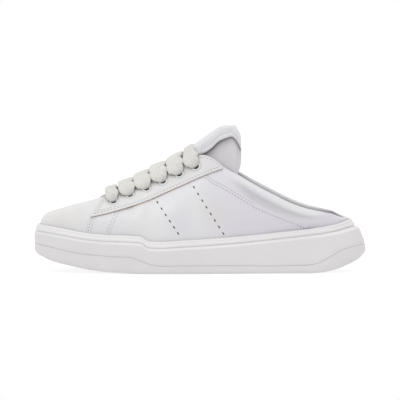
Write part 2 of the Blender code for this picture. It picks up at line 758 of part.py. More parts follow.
def build_lace_bar(number, home, surface):
    """One flat bar of the lace, pinched where it nears its eyelets."""
    path = lace_path(number)
    way = np.gradient(path, axis=0)
    way = way / np.linalg.norm(way, axis=1, keepdims=True)
    near = tongue_crest(eyelet_column(max(number, 1)))
    throat = tongue_crest(eyelet_column(max(number, 1)) + EYELET_PITCH) - near
    throat = throat / np.linalg.norm(throat)
    width_way = throat - way * (way @ throat)[:, None]
    width_way = width_way / np.linalg.norm(width_way, axis=1, keepdims=True)
    normal = np.cross(way, width_way)
    full = LACE_FIRST_WIDTH if number == 0 else LACE_WIDTH
    spread = np.sin(np.linspace(0, math.pi, len(path))) ** 0.45
    half = (LACE_PINCH + (full - LACE_PINCH) * spread) / 2
    turn = np.linspace(0, 2 * math.pi, 10, endpoint=False)
    sections = []
    for k in range(len(path)):
        flat = np.sign(np.cos(turn)) * np.abs(np.cos(turn)) ** 0.8 * half[k]
        thick = np.sign(np.sin(turn)) * np.abs(np.sin(turn)) ** 0.6 * LACE_THICKNESS / 2
        sections.append(path[k] + flat[:, None] * width_way[k] + thick[:, None] * normal[k])
    return tube_solid(f"lace_bar_{number + 1}", sections, home, surface)


def eyelet_cutter(cutters, surface):
    """Rods through the upper and eyestays at each eyelet, as one cutter."""
    shell = bmesh.new()
    for side in (-1, 1):
        for number in range(EYELETS):
            u, v = eyelet_place(number, side)
            place = upper_face([u], [[v]])[0, 0]
            normal = outward([u], [[v]])[0, 0]
            made = bmesh.ops.create_cone(
                shell, cap_ends=True, segments=10,
                radius1=EYELET_DIAMETER / 2, radius2=EYELET_DIAMETER / 2, depth=8 * WALL,
            )["verts"]
            across = np.cross(normal, (1, 0, 0))
            across = across / np.linalg.norm(across)
            last = np.cross(normal, across)
            for vert in made:
                at = np.array(vert.co)
                vert.co = tuple(place + across * at[0] + last * at[1] + normal * at[2])
    bmesh.ops.recalc_face_normals(shell, faces=shell.faces)
    mesh = bpy.data.meshes.new("eyelet_cutter")
    shell.to_mesh(mesh)
    shell.free()
    made = bpy.data.objects.new("eyelet_cutter", mesh)
    made.data.materials.append(surface)
    cutters.objects.link(made)
    return made


def main():
    """Clears the scene and builds every piece."""
    for old in list(bpy.data.objects):
        bpy.data.objects.remove(old)
    home = bpy.data.collections.new("sneaker_mule")
    cutters = bpy.data.collections.new("cutters")
    bpy.context.scene.collection.children.link(home)
    bpy.context.scene.collection.children.link(cutters)
    leather = material("white_leather", (0.76, 0.76, 0.77), 0.42)
    sole_rubber = material("sole_rubber", (0.70, 0.69, 0.69), 0.55)
    ground_rubber = material("outsole_rubber", (0.66, 0.65, 0.65), 0.6)
    footbed = material("footbed", (0.62, 0.60, 0.58), 0.8)
    padding = material("tongue_padding", (0.58, 0.57, 0.59), 0.6)
    facing = material("facing_leather", (0.78, 0.78, 0.78), 0.4)
    patch = material("tab_leather", (0.80, 0.80, 0.80), 0.38)
    lace = material("lace", (0.78, 0.78, 0.74), 0.9)
    made = [
        build_outsole(home, cutters, ground_rubber),
        build_cupsole(home, sole_rubber),
        build_insole(home, footbed),
    ]
    upper = build_upper(home, leather)
    eyestays = [
        build_eyestay("eyestay_lateral", -1, home, facing),
        build_eyestay("eyestay_medial", 1, home, facing),
    ]
    holes = eyelet_cutter(cutters, facing)
    for piece in (upper, *eyestays):
        cut(piece, holes)
        made.append(piece)
    made.append(build_tongue(home, padding))
    made.append(build_tongue_tab(home, patch))
    for number in range(EYELETS):
        made.append(build_lace_bar(number, home, lace))
    for piece in made:
        shade(piece)


main()
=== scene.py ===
"""Dressed view of the backless leather sneaker, left foot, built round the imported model.

Metres, +Z up. The toe points to -X and the outer side to -Y. Every shell is a function of two numbers:
u, the share of the way round the shoe from the heel over the outer side, toe and inner side, and v, the
share of the way up or across it.
"""

import math
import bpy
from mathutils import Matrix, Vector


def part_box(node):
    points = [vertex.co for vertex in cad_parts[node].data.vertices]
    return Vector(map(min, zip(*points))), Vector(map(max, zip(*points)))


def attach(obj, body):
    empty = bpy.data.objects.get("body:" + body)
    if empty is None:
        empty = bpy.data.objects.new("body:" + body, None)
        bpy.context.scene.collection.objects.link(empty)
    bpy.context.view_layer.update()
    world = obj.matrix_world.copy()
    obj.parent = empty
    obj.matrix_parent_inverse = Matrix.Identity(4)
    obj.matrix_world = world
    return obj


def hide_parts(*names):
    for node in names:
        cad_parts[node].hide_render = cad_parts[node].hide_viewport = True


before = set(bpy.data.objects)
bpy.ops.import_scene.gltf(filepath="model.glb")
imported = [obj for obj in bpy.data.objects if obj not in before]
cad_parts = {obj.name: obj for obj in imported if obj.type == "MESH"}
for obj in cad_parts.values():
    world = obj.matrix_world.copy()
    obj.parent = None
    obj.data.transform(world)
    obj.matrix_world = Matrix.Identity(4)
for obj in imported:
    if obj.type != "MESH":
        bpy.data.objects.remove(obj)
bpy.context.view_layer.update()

import bmesh
import bpy
import numpy as np
from mathutils import Vector
from mathutils.bvhtree import BVHTree

MM = 0.001

# Driving dimensions of the sole, its length read from the frame
SOLE_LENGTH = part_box("cupsole")[1][0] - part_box("cupsole")[0][0]
BALL_WIDTH = 103 * MM
HEEL_WIDTH = 80 * MM
SOLE_HEIGHT = 43.7 * MM
TOE_SPRING = 14.5 * MM
HEEL_LIFT = 16.5 * MM
TOE_ROUND = 47 * MM
HEEL_ROUND = 39 * MM
TOE_POWER = 2.4
HEEL_POWER = 2.3
BEAD_HEIGHT = 5.8 * MM
LEDGE_HEIGHT = 2.6 * MM
HEEL_FLARE = 12 * MM
RIM_WALL = 2.8 * MM
OUTSOLE_ROUND = 2.2 * MM
LUG_DEPTH = 2 * MM
LUG_GROOVE = 3 * MM
LUG_PITCH = 11 * MM
LUG_MARGIN = 9 * MM
ARCH_DEPTH = 2.5 * MM

# Driving dimensions of the insole, upper and collar
INSOLE_THICKNESS = 4.5 * MM
COLLAR_FRONT_HEIGHT = 97.5 * MM
THROAT_WIDTH = 36 * MM
WALL = 2 * MM
COLLAR_PAD = 5.5 * MM
COLLAR_ROLL = 1.3 * MM
COLLAR_BAND = 10 * MM
COLLAR_LEAN = 2.5 * MM
QUARTER_BULGE = 1.6 * MM
EDGE_SHOW = 1 * MM
SECTION_POWER = 2.1

# Driving dimensions of the eyestays, tongue and lace
EYESTAY_THICKNESS = 1.2 * MM
EYELET_DIAMETER = 4.8 * MM
EYELET_RING = 7.6 * MM
RING_RIDGE = 0.3 * MM
RING_LINE = 0.35 * MM
FRONT_BOW = 3.2 * MM
EYELET_INSET = 10 * MM
EYELET_PITCH = 13.8 * MM
EYELETS = 6
FIRST_EYELET = 0.2404
TONGUE_STAND = 21.7 * MM
TONGUE_THICKNESS = 6 * MM
TONGUE_HALF_WIDTH = 22 * MM
TONGUE_RAKE = 6 * MM
TAB_THICKNESS = 2 * MM
TAB_SWELL = 2.2 * MM
LACE_WIDTH = 15.2 * MM
LACE_THICKNESS = 3 * MM
LACE_LEAN = 4.2 * MM
NOTCH_SHARE = 0.3
NOTCH_PLACE = 19 * MM
GAP = 0.3 * MM

# Where the cross lugs and the arch recess lie, as shares of the sole's length from the toe
LUG_ZONES = ((0.13, 0.44), (0.66, 0.84))
ARCH_START = 0.47
ARCH_END = 0.64

# How far down its arch the tongue's end starts to run forward
TONGUE_BEND = 0.62

# Where the tab is sewn down, where its hem sets in and how far it hangs over the tongue's end, as shares of
# the sole's length
TAB_SEWN = 0.468
HEM_START = (0.475, 0.505)
TAB_OVERHANG = 0.0015

# A distance in mm at which no mark shows
FAR = 99.0

# Sewing
STITCH_PITCH = 2.9 * MM
STITCH_LENGTH = 2.0 * MM
STITCH_THICKNESS = 0.5 * MM
STITCH_INSET = 2.6 * MM
NEEDLE_LENGTH = 0.85 * MM
NEEDLE_WIDTH = 0.55 * MM
LENS_RISE = 0.12 * MM
VAMP_PITCH = 2.4 * MM
VAMP_LENGTH = 1.7 * MM
PANEL_PITCH = 2.6 * MM
PANEL_LENGTH = 1.8 * MM

# How the collar swells and folds in the dressed upper
ROLL_SWELL = 1.2 * MM
FOLD_DEPTH = 2.0 * MM
FOLD_LIP = 0.4 * MM
LOWER_SWELL = 0.5 * MM
ROLL_HEIGHT = 0.72

# How finely the forms are divided; a section's first samples stand straight inside the cup
FINE = 1600
SECTION_SAMPLES = 150
CUP_SAMPLES = 11
LACE_RIBS = 6


def table(names, *rows):
    """A table of sections as named columns, one array for each."""
    return dict(zip(names.split(), np.array(rows, dtype=float).T))


# Plan of the sole: half widths as shares of the ball and heel widths, and the middle line's offset
PLAN = table(
    "along ball heel centre",
    (0.00, 0.373, 0.000, 0.081),
    (0.05, 0.397, 0.000, 0.066),
    (0.10, 0.419, 0.000, 0.051),
    (0.17, 0.451, 0.000, 0.034),
    (0.25, 0.485, 0.000, 0.018),
    (0.32, 0.500, 0.000, 0.006),
    (0.40, 0.493, 0.000, -0.014),
    (0.48, 0.400, 0.084, -0.029),
    (0.57, 0.250, 0.231, -0.037),
    (0.66, 0.120, 0.366, -0.029),
    (0.75, 0.030, 0.464, -0.014),
    (0.85, 0.000, 0.500, -0.002),
    (0.93, 0.000, 0.490, 0.006),
    (1.00, 0.000, 0.475, 0.006),
)

# Lines along the sole's side, as shares of the toe spring, the heel lift and the sole height
SIDE = table(
    "along toe heel groove bead",
    (0.000, 1.000, 0.000, 0.535, 0.764),
    (0.044, 0.676, 0.000, 0.490, 0.745),
    (0.108, 0.407, 0.000, 0.406, 0.684),
    (0.162, 0.221, 0.000, 0.364, 0.636),
    (0.198, 0.124, 0.000, 0.346, 0.618),
    (0.250, 0.048, 0.000, 0.325, 0.608),
    (0.295, 0.010, 0.000, 0.311, 0.597),
    (0.318, 0.000, 0.000, 0.257, 0.586),
    (0.326, 0.000, 0.000, 0.237, 0.570),
    (0.336, 0.000, 0.000, 0.212, 0.516),
    (0.346, 0.000, 0.000, 0.187, 0.496),
    (0.366, 0.000, 0.000, 0.162, 0.487),
    (0.440, 0.000, 0.000, 0.158, 0.508),
    (0.577, 0.000, 0.000, 0.156, 0.558),
    (0.780, 0.000, 0.000, 0.150, 0.682),
    (0.838, 0.000, 0.000, 0.170, 0.723),
    (0.862, 0.000, 0.035, 0.208, 0.742),
    (0.888, 0.000, 0.109, 0.295, 0.762),
    (0.928, 0.000, 0.280, 0.430, 0.798),
    (0.965, 0.000, 0.520, 0.500, 0.840),
    (0.990, 0.000, 0.740, 0.522, 0.862),
    (1.000, 0.000, 0.900, 0.526, 0.868),
)

# How far the side stands in, as shares of the flare, and the cup's floor as a share of the sole height
CUP = table(
    "along ledge bead rim floor",
    (0.00, 0.03, 0.10, 0.18, 0.600),
    (0.10, 0.03, 0.11, 0.19, 0.490),
    (0.20, 0.03, 0.12, 0.20, 0.415),
    (0.30, 0.05, 0.15, 0.23, 0.370),
    (0.40, 0.07, 0.18, 0.25, 0.355),
    (0.60, 0.12, 0.28, 0.33, 0.440),
    (0.80, 0.22, 0.43, 0.48, 0.560),
    (0.90, 0.33, 0.62, 0.69, 0.595),
    (1.00, 0.48, 0.85, 0.98, 0.605),
)

# The topline: place, half gap and height of the upper's top edge, and the shape of the section under it
TOPLINE = table(
    "along edge half height lean round",
    (0.000, 0.212, 0.000, 0.636, 0.68, 0.17),
    (0.030, 0.213, 0.080, 0.636, 0.64, 0.20),
    (0.080, 0.216, 0.170, 0.637, 0.52, 0.32),
    (0.150, 0.224, 0.264, 0.645, 0.30, 0.62),
    (0.220, 0.248, 0.333, 0.672, 0.22, 0.90),
    (0.280, 0.291, 0.375, 0.723, 0.28, 1.00),
    (0.340, 0.342, 0.403, 0.785, 0.33, 1.00),
    (0.400, 0.396, 0.431, 0.851, 0.38, 1.00),
    (0.450, 0.446, 0.458, 0.918, 0.40, 1.00),
    (0.485, 0.482, 0.481, 0.974, 0.42, 1.00),
    (0.505, 0.503, 0.500, 1.000, 0.42, 1.00),
    (0.525, 0.522, 0.525, 0.992, 0.42, 1.00),
    (0.545, 0.541, 0.558, 0.967, 0.42, 1.00),
    (0.562, 0.558, 0.600, 0.930, 0.41, 1.00),
    (0.580, 0.577, 0.650, 0.891, 0.40, 1.00),
    (0.620, 0.619, 0.736, 0.822, 0.36, 1.00),
    (0.660, 0.658, 0.803, 0.754, 0.34, 1.00),
    (0.720, 0.718, 0.867, 0.660, 0.32, 1.00),
    (0.780, 0.779, 0.889, 0.572, 0.30, 1.00),
    (0.830, 0.827, 0.878, 0.525, 0.30, 1.00),
    (0.880, 0.878, 0.800, 0.502, 0.30, 1.00),
    (0.920, 0.917, 0.720, 0.496, 0.30, 1.00),
    (0.960, 0.955, 0.640, 0.475, 0.30, 1.00),
    (1.000, 0.990, 0.560, 0.460, 0.30, 1.00),
)

# How far below the topline the trough under the padded collar runs, in mm
COLLAR_FOLD = table(
    "along below",
    (0.570, 10.4),
    (0.640, 10.2),
    (0.710, 9.6),
    (0.755, 8.1),
    (0.800, 6.5),
    (0.846, 4.7),
    (0.920, 3.2),
)

# The eyestay's lower edge, as a share of the collar's front height
EYESTAY_EDGE = table(
    "along height",
    (0.155, 0.475),
    (0.220, 0.516),
    (0.280, 0.563),
    (0.340, 0.619),
    (0.400, 0.689),
    (0.450, 0.751),
    (0.505, 0.823),
    (0.545, 0.866),
    (0.570, 0.886),
)

# How far each eyelet stands in from the topline, counted from the toe, as a share of the inset
EYELET_ROW = table(
    "number inset",
    (0, 1.94),
    (1, 1.56),
    (2, 1.33),
    (3, 1.11),
    (4, 1.01),
    (5, 1.03),
)

# The lace bars, counted from the toe: width and lean as shares, how far the crest is raised in mm, and how
# much narrower the bar is there
LACE_BARS = table(
    "number width lean lift narrow",
    (0, 0.74, 0.62, -2.4, 0.05),
    (1, 0.95, 0.88, -0.6, 0.0),
    (2, 1.00, 1.00, 0.0, 0.0),
    (3, 1.00, 1.00, 0.0, 0.0),
    (4, 1.00, 1.00, 0.0, 0.0),
    (5, 0.90, 1.30, 0.8, 0.45),
)

# The tongue's crest, side edges and half width
TONGUE = table(
    "along throat stand half foot",
    (0.185, 0.553, 0.000, 0.80, 0.80),
    (0.205, 0.580, 0.000, 0.84, 0.74),
    (0.224, 0.614, 0.000, 0.88, 0.68),
    (0.241, 0.666, 0.000, 0.92, 0.60),
    (0.256, 0.709, 0.000, 0.95, 0.55),
    (0.342, 0.841, 0.000, 1.00, 0.53),
    (0.428, 0.968, 0.010, 1.00, 0.56),
    (0.456, 0.985, 0.090, 0.99, 0.57),
    (0.482, 1.000, 0.290, 0.97, 0.58),
    (0.530, 1.000, 0.747, 0.92, 0.60),
    (0.562, 1.000, 0.990, 0.90, 0.61),
    (0.583, 1.000, 1.035, 0.93, 0.62),
    (0.600, 1.000, 0.985, 0.97, 0.64),
    (0.612, 1.000, 0.890, 1.00, 0.66),
    (0.619, 1.000, 0.775, 1.00, 0.67),
    (0.624, 1.000, 0.610, 0.98, 0.69),
)

# How far the tab reaches down each side of the tongue's arch
TAB = table(
    "along span",
    (0.455, 0.40),
    (0.500, 0.45),
    (0.519, 0.475),
    (0.535, 0.467),
    (0.556, 0.425),
    (0.580, 0.400),
    (0.598, 0.368),
    (0.610, 0.41),
    (0.624, 0.48),
)

# Seams on the upper's side, each a line of places along the length and heights, in millimetres
VAMP_SEAM = np.array(
    ((-80.5, 63.0), (-85.0, 57.5), (-89.1, 51.5), (-92.6, 46.3), (-94.0, 42.5), (-95.8, 33.0))
)
TOE_PANEL_SEAM = np.array(((-68.6, 52.5), (-73.1, 43.9), (-78.2, 32.5)))
QUARTER_SEAM = np.array(
    (
        (4.9, 79.8),
        (9.0, 76.2),
        (16.6, 72.3),
        (33.2, 62.8),
        (45.6, 55.3),
        (62.2, 47.9),
        (78.7, 41.3),
        (89.5, 36.5),
    )
)

# How far the stitch rows run beside their seams, and how high those of the vamp go, in mm
VAMP_ROWS = (1.6, 3.8)
VAMP_ROWS_TOP = 47.5
PANEL_ROWS = (-1.1, 1.1)
QUARTER_ROW = 2.2

# Rows of ventilation slits: first and last place, and how many
SLIT_ROWS = (((-35.9, 59.6), (-18.5, 33.9), 6), ((-5.3, 72.1), (19.3, 33.6), 8))
SLIT_LENGTH = 2.9 * MM
SLIT_WIDTH = 1.0 * MM
SLIT_WAY = np.array((0.275, -0.415))

# Soft troughs in the leather, and ridges where the depth is below zero: the two ends in the side view, the
# half width and the depth, in mm
CREASES = table(
    "x1 z1 x2 z2 half depth",
    (-64, 43, -57, 63, 4.5, 0.45),
    (-55, 40, -47, 62, 5.0, -0.30),
    (-46, 36, -41, 58, 5.5, 0.40),
    (-30, 34, -24, 48, 6.0, -0.35),
    (-13, 36, -3, 58, 7.0, 0.35),
    (-18, 44, -20, 62, 9.0, -0.45),
    (12, 40, 28, 60, 9.0, 0.50),
    (38, 44, 60, 52, 8.0, -0.25),
    (-112, 46, -104, 56, 7.0, -0.25),
)

# Faint patches of warm tint, and lilac painted shade where the amount is below zero: place in the side view,
# half width in mm, and amount
TINT_PATCHES = table(
    "x z half warm",
    (-119, 44, 9, 1.0),
    (-106, 48, 12, 0.6),
    (10, 56, 9, 0.9),
    (17, 45, 8, 0.7),
    (-16, 40, 9, -0.6),
    (-24, 50, 9, -0.4),
    (-86, 41, 8, 0.5),
)


# An eyelet's dark inside, as shares of the eyelet's radius and of the eyestay's thickness
EYELET_WELL = np.array(
    ((0, -0.25), (1.02, -0.25), (1.12, 0.1), (1.12, 0.65), (1.0, 0.75), (0.98, 0.2), (0.9, -0.05), (0, -0.1))
)


def curve(source, column, at):
    """Smooth curve through one column of a table: cubics whose slopes come from each row's neighbours."""
    along = source["along"]
    value = source[column]
    slope = np.gradient(value, along)
    at = np.clip(np.asarray(at, dtype=float), along[0], along[-1])
    row = np.clip(np.searchsorted(along, at) - 1, 0, len(along) - 2)
    step = along[row + 1] - along[row]
    t = (at - along[row]) / step
    start = value[row] * (1 + 2 * t) * (1 - t) ** 2 + slope[row] * step * t * (1 - t) ** 2
    end = value[row + 1] * t * t * (3 - 2 * t) + slope[row + 1] * step * t * t * (t - 1)
    return start + end


def ramp(low, high, at):
    """0 below low, 1 above high and a smooth step between them."""
    t = np.clip((at - low) / (high - low), 0, 1)
    return t * t * (3 - 2 * t)


def hump(at, centre, half):
    """A soft bell: exp(-((at - centre) / half)^2)."""
    return np.exp(-(((at - centre) / half) ** 2))


def quarter_round(share):
    """A quarter circle's rise from 0 to 1: sqrt(1 - (1 - share)^2), and 1 past it."""
    return np.sqrt(1 - (1 - np.clip(share, 0, 1)) ** 2)


def half_width(along):
    """Half width of the sole's plan: the table's width, rounded at both ends by superellipses."""
    body = curve(PLAN, "ball", along) * BALL_WIDTH + curve(PLAN, "heel", along) * HEEL_WIDTH
    toe = 1 - np.clip(along * SOLE_LENGTH / TOE_ROUND, 0, 1)
    heel = 1 - np.clip((1 - along) * SOLE_LENGTH / HEEL_ROUND, 0, 1)
    return body * (1 - toe**TOE_POWER) ** (1 / TOE_POWER) * (1 - heel**HEEL_POWER) ** (1 / HEEL_POWER)


def plan_loop(count):
    """The plan as a closed loop from the heel over the outer side, in equal steps of its edge.

    Columns: share of the length, x, y, and the x and y of the inward way.
    """
    fine = 0.5 + 0.5 * np.cos(np.linspace(0, math.pi, 20 * FINE))
    walked = np.hypot(np.diff(fine) * SOLE_LENGTH, np.diff(half_width(fine)))
    walked = np.concatenate(([0], np.cumsum(walked)))
    half = np.interp(np.linspace(0, walked[-1], count + 1), walked, fine)
    along = np.concatenate((half, half[-2:0:-1]))
    side = np.where(np.arange(len(along)) <= count, -1, 1)
    x = (along - 0.5) * SOLE_LENGTH
    y = side * half_width(along) + curve(PLAN, "centre", along) * BALL_WIDTH
    way = np.stack((np.roll(x, -1) - np.roll(x, 1), np.roll(y, -1) - np.roll(y, 1)))
    way = way / np.hypot(way[0], way[1])
    return np.stack((along, x, y, way[1], -way[0]), axis=1)


def ring(loop, inset, height):
    """The plan's loop moved in by inset, at the given height, as points."""
    inset = np.broadcast_to(inset, len(loop))
    height = np.broadcast_to(height, len(loop))
    return np.stack((loop[:, 1] + loop[:, 3] * inset, loop[:, 2] + loop[:, 4] * inset, height), axis=1)


def bottom_line(along):
    """Height of the sole's underside."""
    lift = curve(SIDE, "toe", along) * TOE_SPRING + curve(SIDE, "heel", along) * HEEL_LIFT
    return np.maximum(lift, 0)


def groove_line(along):
    """Height of the groove between outsole and cupsole."""
    return curve(SIDE, "groove", along) * SOLE_HEIGHT


def bead_line(along):
    """Height of the rim bead's lower line."""
    return curve(SIDE, "bead", along) * SOLE_HEIGHT


def rim_line(along):
    """Height of the cup's rim."""
    return bead_line(along) + BEAD_HEIGHT


def floor_line(along):
    """Height of the cup's floor."""
    return curve(CUP, "floor", along) * SOLE_HEIGHT


def rim_inset(along):
    """How far the rim stands in from the plan."""
    return curve(CUP, "rim", along) * HEEL_FLARE


def seat_inset(along):
    """How far the upper's outer face stands in from the plan where it sits in the cup."""
    return rim_inset(along) + RIM_WALL + GAP


def topline(along):
    """Place, half gap and height of the upper's top edge for each section."""
    x = (curve(TOPLINE, "edge", along) - 0.5) * SOLE_LENGTH
    half = curve(TOPLINE, "half", along) * THROAT_WIDTH
    height = curve(TOPLINE, "height", along) * COLLAR_FRONT_HEIGHT
    return x, half, np.maximum(height, rim_line(along) + EDGE_SHOW)


def throat_centre(along):
    """The throat's middle line: half of the plan's own bend."""
    return curve(PLAN, "centre", along) * BALL_WIDTH / 2


def collar_share(along):
    """1 where the collar is padded, 0 in front of it and fading out in the cup at the heel."""
    return ramp(0.57, 0.66, along) * (1 - ramp(0.80, 0.92, along))


LOOP = plan_loop(FINE)


def loop_at(us):
    """The plan at shares us of the way round from the heel: along, x, y and the inward way's x and y."""
    place = np.mod(us, 1) * len(LOOP)
    low = np.floor(place).astype(int) % len(LOOP)
    part = (place - np.floor(place))[:, None]
    return (LOOP[low] * (1 - part) + LOOP[(low + 1) % len(LOOP)] * part).T


def loop_share(along, side):
    """The shares of the way round at which the plan is at these shares of the length, on one side."""
    half = LOOP[: FINE + 1, 0]
    us = np.interp(along, half[::-1], np.arange(FINE, -1, -1)) / len(LOOP)
    return us if side < 0 else 1 - us


def sections(us):
    """Sections of the upper's outer face at shares us, and the distance walked up each from the cup's floor.

    Each rises straight inside the cup, then rounds over to the topline: with r the share of the way in,
    z = rise * ((1 - lean) * (1 - (1 - r / round)^p)^(1 / p) + lean * r). A bell swells it below the topline
    where the collar is padded, with a shallow trough under the swell.
    """
    along, x, y, in_x, in_y = loop_at(us)
    inward = np.stack((in_x, in_y), axis=1)
    side = np.where(np.mod(us, 1) < 0.5, -1.0, 1.0)
    base = np.stack((x, y), axis=1) + inward * seat_inset(along)[:, None]
    low = floor_line(along) + GAP
    shoulder = rim_line(along) + EDGE_SHOW / 2
    edge_x, edge_half, edge_height = topline(along)
    edge = np.stack((edge_x, throat_centre(along) + side * edge_half), axis=1)
    heel = ramp(0.85, 0.93, along)[:, None]
    edge = edge * (1 - heel) + (base + inward * COLLAR_LEAN) * heel
    r = (np.linspace(0, 1, SECTION_SAMPLES) ** 2)[None, :]
    lean = curve(TOPLINE, "lean", along)[:, None]
    inner = 1 - np.clip(r / curve(TOPLINE, "round", along)[:, None], 0, 1)
    rise = (1 - lean) * (1 - inner**SECTION_POWER) ** (1 / SECTION_POWER) + lean * r
    flat = base[:, None] + (edge - base)[:, None] * r[:, :, None]
    height = shoulder[:, None] + (edge_height - shoulder)[:, None] * rise
    full = (ramp(0.1, 0.3, along) * (1 - ramp(0.8, 0.92, along)))[:, None]
    flat = flat - inward[:, None] * (QUARTER_BULGE * np.sin(math.pi * rise) * full)[:, :, None]
    wall_height = low[:, None] + (shoulder - low)[:, None] * np.linspace(0, 1, CUP_SAMPLES + 1)[None, :-1]
    wall_flat = np.broadcast_to(base[:, None], (len(base), CUP_SAMPLES, 2))
    wall = np.concatenate((wall_flat, wall_height[:, :, None]), axis=2)
    points = np.concatenate((wall, np.concatenate((flat, height[:, :, None]), axis=2)), axis=1)
    steps = np.linalg.norm(np.diff(points, axis=1), axis=2)
    walked = np.concatenate((np.zeros((len(steps), 1)), np.cumsum(steps, axis=1)), axis=1)
    below = walked[:, -1:] - walked
    roll = hump(below, 0.4 * COLLAR_BAND, 0.4 * COLLAR_BAND)
    trough = 0.4 * hump(below, 1.4 * COLLAR_BAND, 0.5 * COLLAR_BAND)
    swell = COLLAR_ROLL * (roll - trough) * collar_share(along)[:, None]
    points[:, :, :2] -= inward[:, None] * swell[:, :, None]
    return points, walked


def walk_to(points, walked, vs):
    """Points at shares vs of the way along each section, by straight steps between its samples."""
    at = np.clip(vs, 0, 1) * walked[:, -1:]
    low = (walked[:, None, :] <= at[:, :, None]).sum(axis=2) - 1
    low = np.clip(low, 0, walked.shape[1] - 2)
    before = np.take_along_axis(walked, low, axis=1)
    after = np.take_along_axis(walked, low + 1, axis=1)
    part = ((at - before) / np.maximum(after - before, 1e-9))[:, :, None]
    start = np.take_along_axis(points, low[:, :, None], axis=1)
    end = np.take_along_axis(points, low[:, :, None] + 1, axis=1)
    return start + (end - start) * part


def upper_face(us, vs):
    """The upper's outer face at shares us round the shoe and vs up each section."""
    points, walked = sections(np.asarray(us, dtype=float))
    return walk_to(points, walked, np.broadcast_to(vs, (len(us), np.shape(vs)[-1])))


def outward(us, vs):
    """Unit normals of the upper's outer face: its way up crossed with its way round."""
    us = np.asarray(us, dtype=float)
    vs = np.broadcast_to(vs, (len(us), np.shape(vs)[-1]))
    round_way = upper_face(us + 0.004, vs) - upper_face(us - 0.004, vs)
    up_way = upper_face(us, vs + 0.02) - upper_face(us, vs - 0.02)
    normal = np.cross(up_way, round_way)
    return normal / np.linalg.norm(normal, axis=2, keepdims=True)


def unit(vectors):
    """The vectors at length one."""
    return vectors / np.maximum(np.linalg.norm(vectors, axis=-1, keepdims=True), 1e-12)


def seam_distance(points, line):
    """Distance in mm from points to a seam in the side view, below zero on the toe's side.

    It is the least of the distances to the seam's straight runs, with the sign of the turn to the nearest.
    """
    flat = points[..., (0, 2)] / MM
    best = np.full(flat.shape[:-1], 1e9)
    signed = best.copy()
    for start, end in zip(line, line[1:]):
        step = end - start
        length = np.hypot(*step)
        way = step / length
        out = flat - start
        t = np.clip(out @ way, 0, length)
        away = np.linalg.norm(out - t[..., None] * way, axis=-1)
        nearer = away < best
        best = np.where(nearer, away, best)
        turn = np.sign(way[0] * out[..., 1] - way[1] * out[..., 0])
        signed = np.where(nearer, away * turn, signed)
    return signed


def crease_depth(points):
    """How far the creases draw the leather in: each its depth times a bell across it and past its ends."""
    total = np.zeros(points.shape[:-1])
    flat = points[..., (0, 2)] / MM
    for x1, z1, x2, z2, half, depth in zip(*CREASES.values()):
        start = np.array((x1, z1))
        step = np.array((x2, z2)) - start
        length = np.hypot(*step)
        out = flat - start
        t = out @ (step / length)
        across = (step[0] * out[..., 1] - step[1] * out[..., 0]) / length
        past = np.maximum(np.abs(t - length / 2) - length / 2, 0)
        total += depth * np.exp(-((across / half) ** 2) - (past / half) ** 2)
    return total * MM


def tint_amount(points):
    """How warm the patches are at points, below zero lilac painted shade: each amount times a bell round its
    place.
    """
    total = np.zeros(points.shape[:-1])
    for x, z, half, warm in zip(*TINT_PATCHES.values()):
        out = np.hypot(points[..., 0] / MM - x, points[..., 2] / MM - z)
        total += warm * hump(out, 0, half)
    return total


def grid_faces(rows, columns, wrap_rows=False, wrap_columns=False, first=0):
    """Quads of a grid of points, as an array, joined round where it wraps."""
    number = first + np.arange(rows * columns).reshape(rows, columns)
    if wrap_rows:
        number = np.concatenate((number, number[:1]))
    if wrap_columns:
        number = np.concatenate((number, number[:, :1]), axis=1)
    corners = (number[:-1, :-1], number[1:, :-1], number[1:, 1:], number[:-1, 1:])
    return np.stack(corners, axis=-1).reshape(-1, 4)


def piece(name, points, faces, finishes, indices=None, marks=None):
    """A closed piece: its points welded, its faces turned outward by its signed volume, shaded smooth."""
    points = np.asarray(points, dtype=float).reshape(-1, 3)
    a, b, c, d = (points[faces[:, k]] for k in range(4))
    volume = (a * np.cross(b, c)).sum() + (a * np.cross(c, d)).sum()
    if volume < 0:
        faces = faces[:, ::-1]
    mesh = bpy.data.meshes.new(name)
    mesh.from_pydata(points, [], faces)
    for finish in finishes:
        mesh.materials.append(finish)
    if indices is not None:
        mesh.polygons.foreach_set("material_index", np.asarray(indices, dtype=np.int32))
    for mark, values in (marks or {}).items():
        layer = mesh.attributes.new(mark, "FLOAT", "POINT")
        layer.data.foreach_set("value", np.asarray(values, dtype=np.float32).ravel())
    shell = bmesh.new()
    shell.from_mesh(mesh)
    bmesh.ops.remove_doubles(shell, verts=shell.verts, dist=1e-6)
    shell.to_mesh(mesh)
    shell.free()
    mesh.polygons.foreach_set("use_smooth", np.ones(len(mesh.polygons), dtype=bool))
    mesh.update()
    made = bpy.data.objects.new(name, mesh)
    bpy.context.scene.collection.objects.link(made)
    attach(made, "root")
    return made


def grid_normals(points):
    """Unit normals of a grid closed round its rows: its way up the columns crossed with its way round."""
    ringed = np.concatenate((points[-1:], points, points[:1]))
    round_way = (ringed[2:] - ringed[:-2]) / 2
    return unit(np.cross(np.gradient(points, axis=1), round_way))


def softened(values, passes):
    """Rows of a closed grid evened out round it, each pass taking a quarter from either neighbour."""
    for _ in range(passes):
        values = values / 2 + (np.roll(values, 1, axis=0) + np.roll(values, -1, axis=0)) / 4
    return values


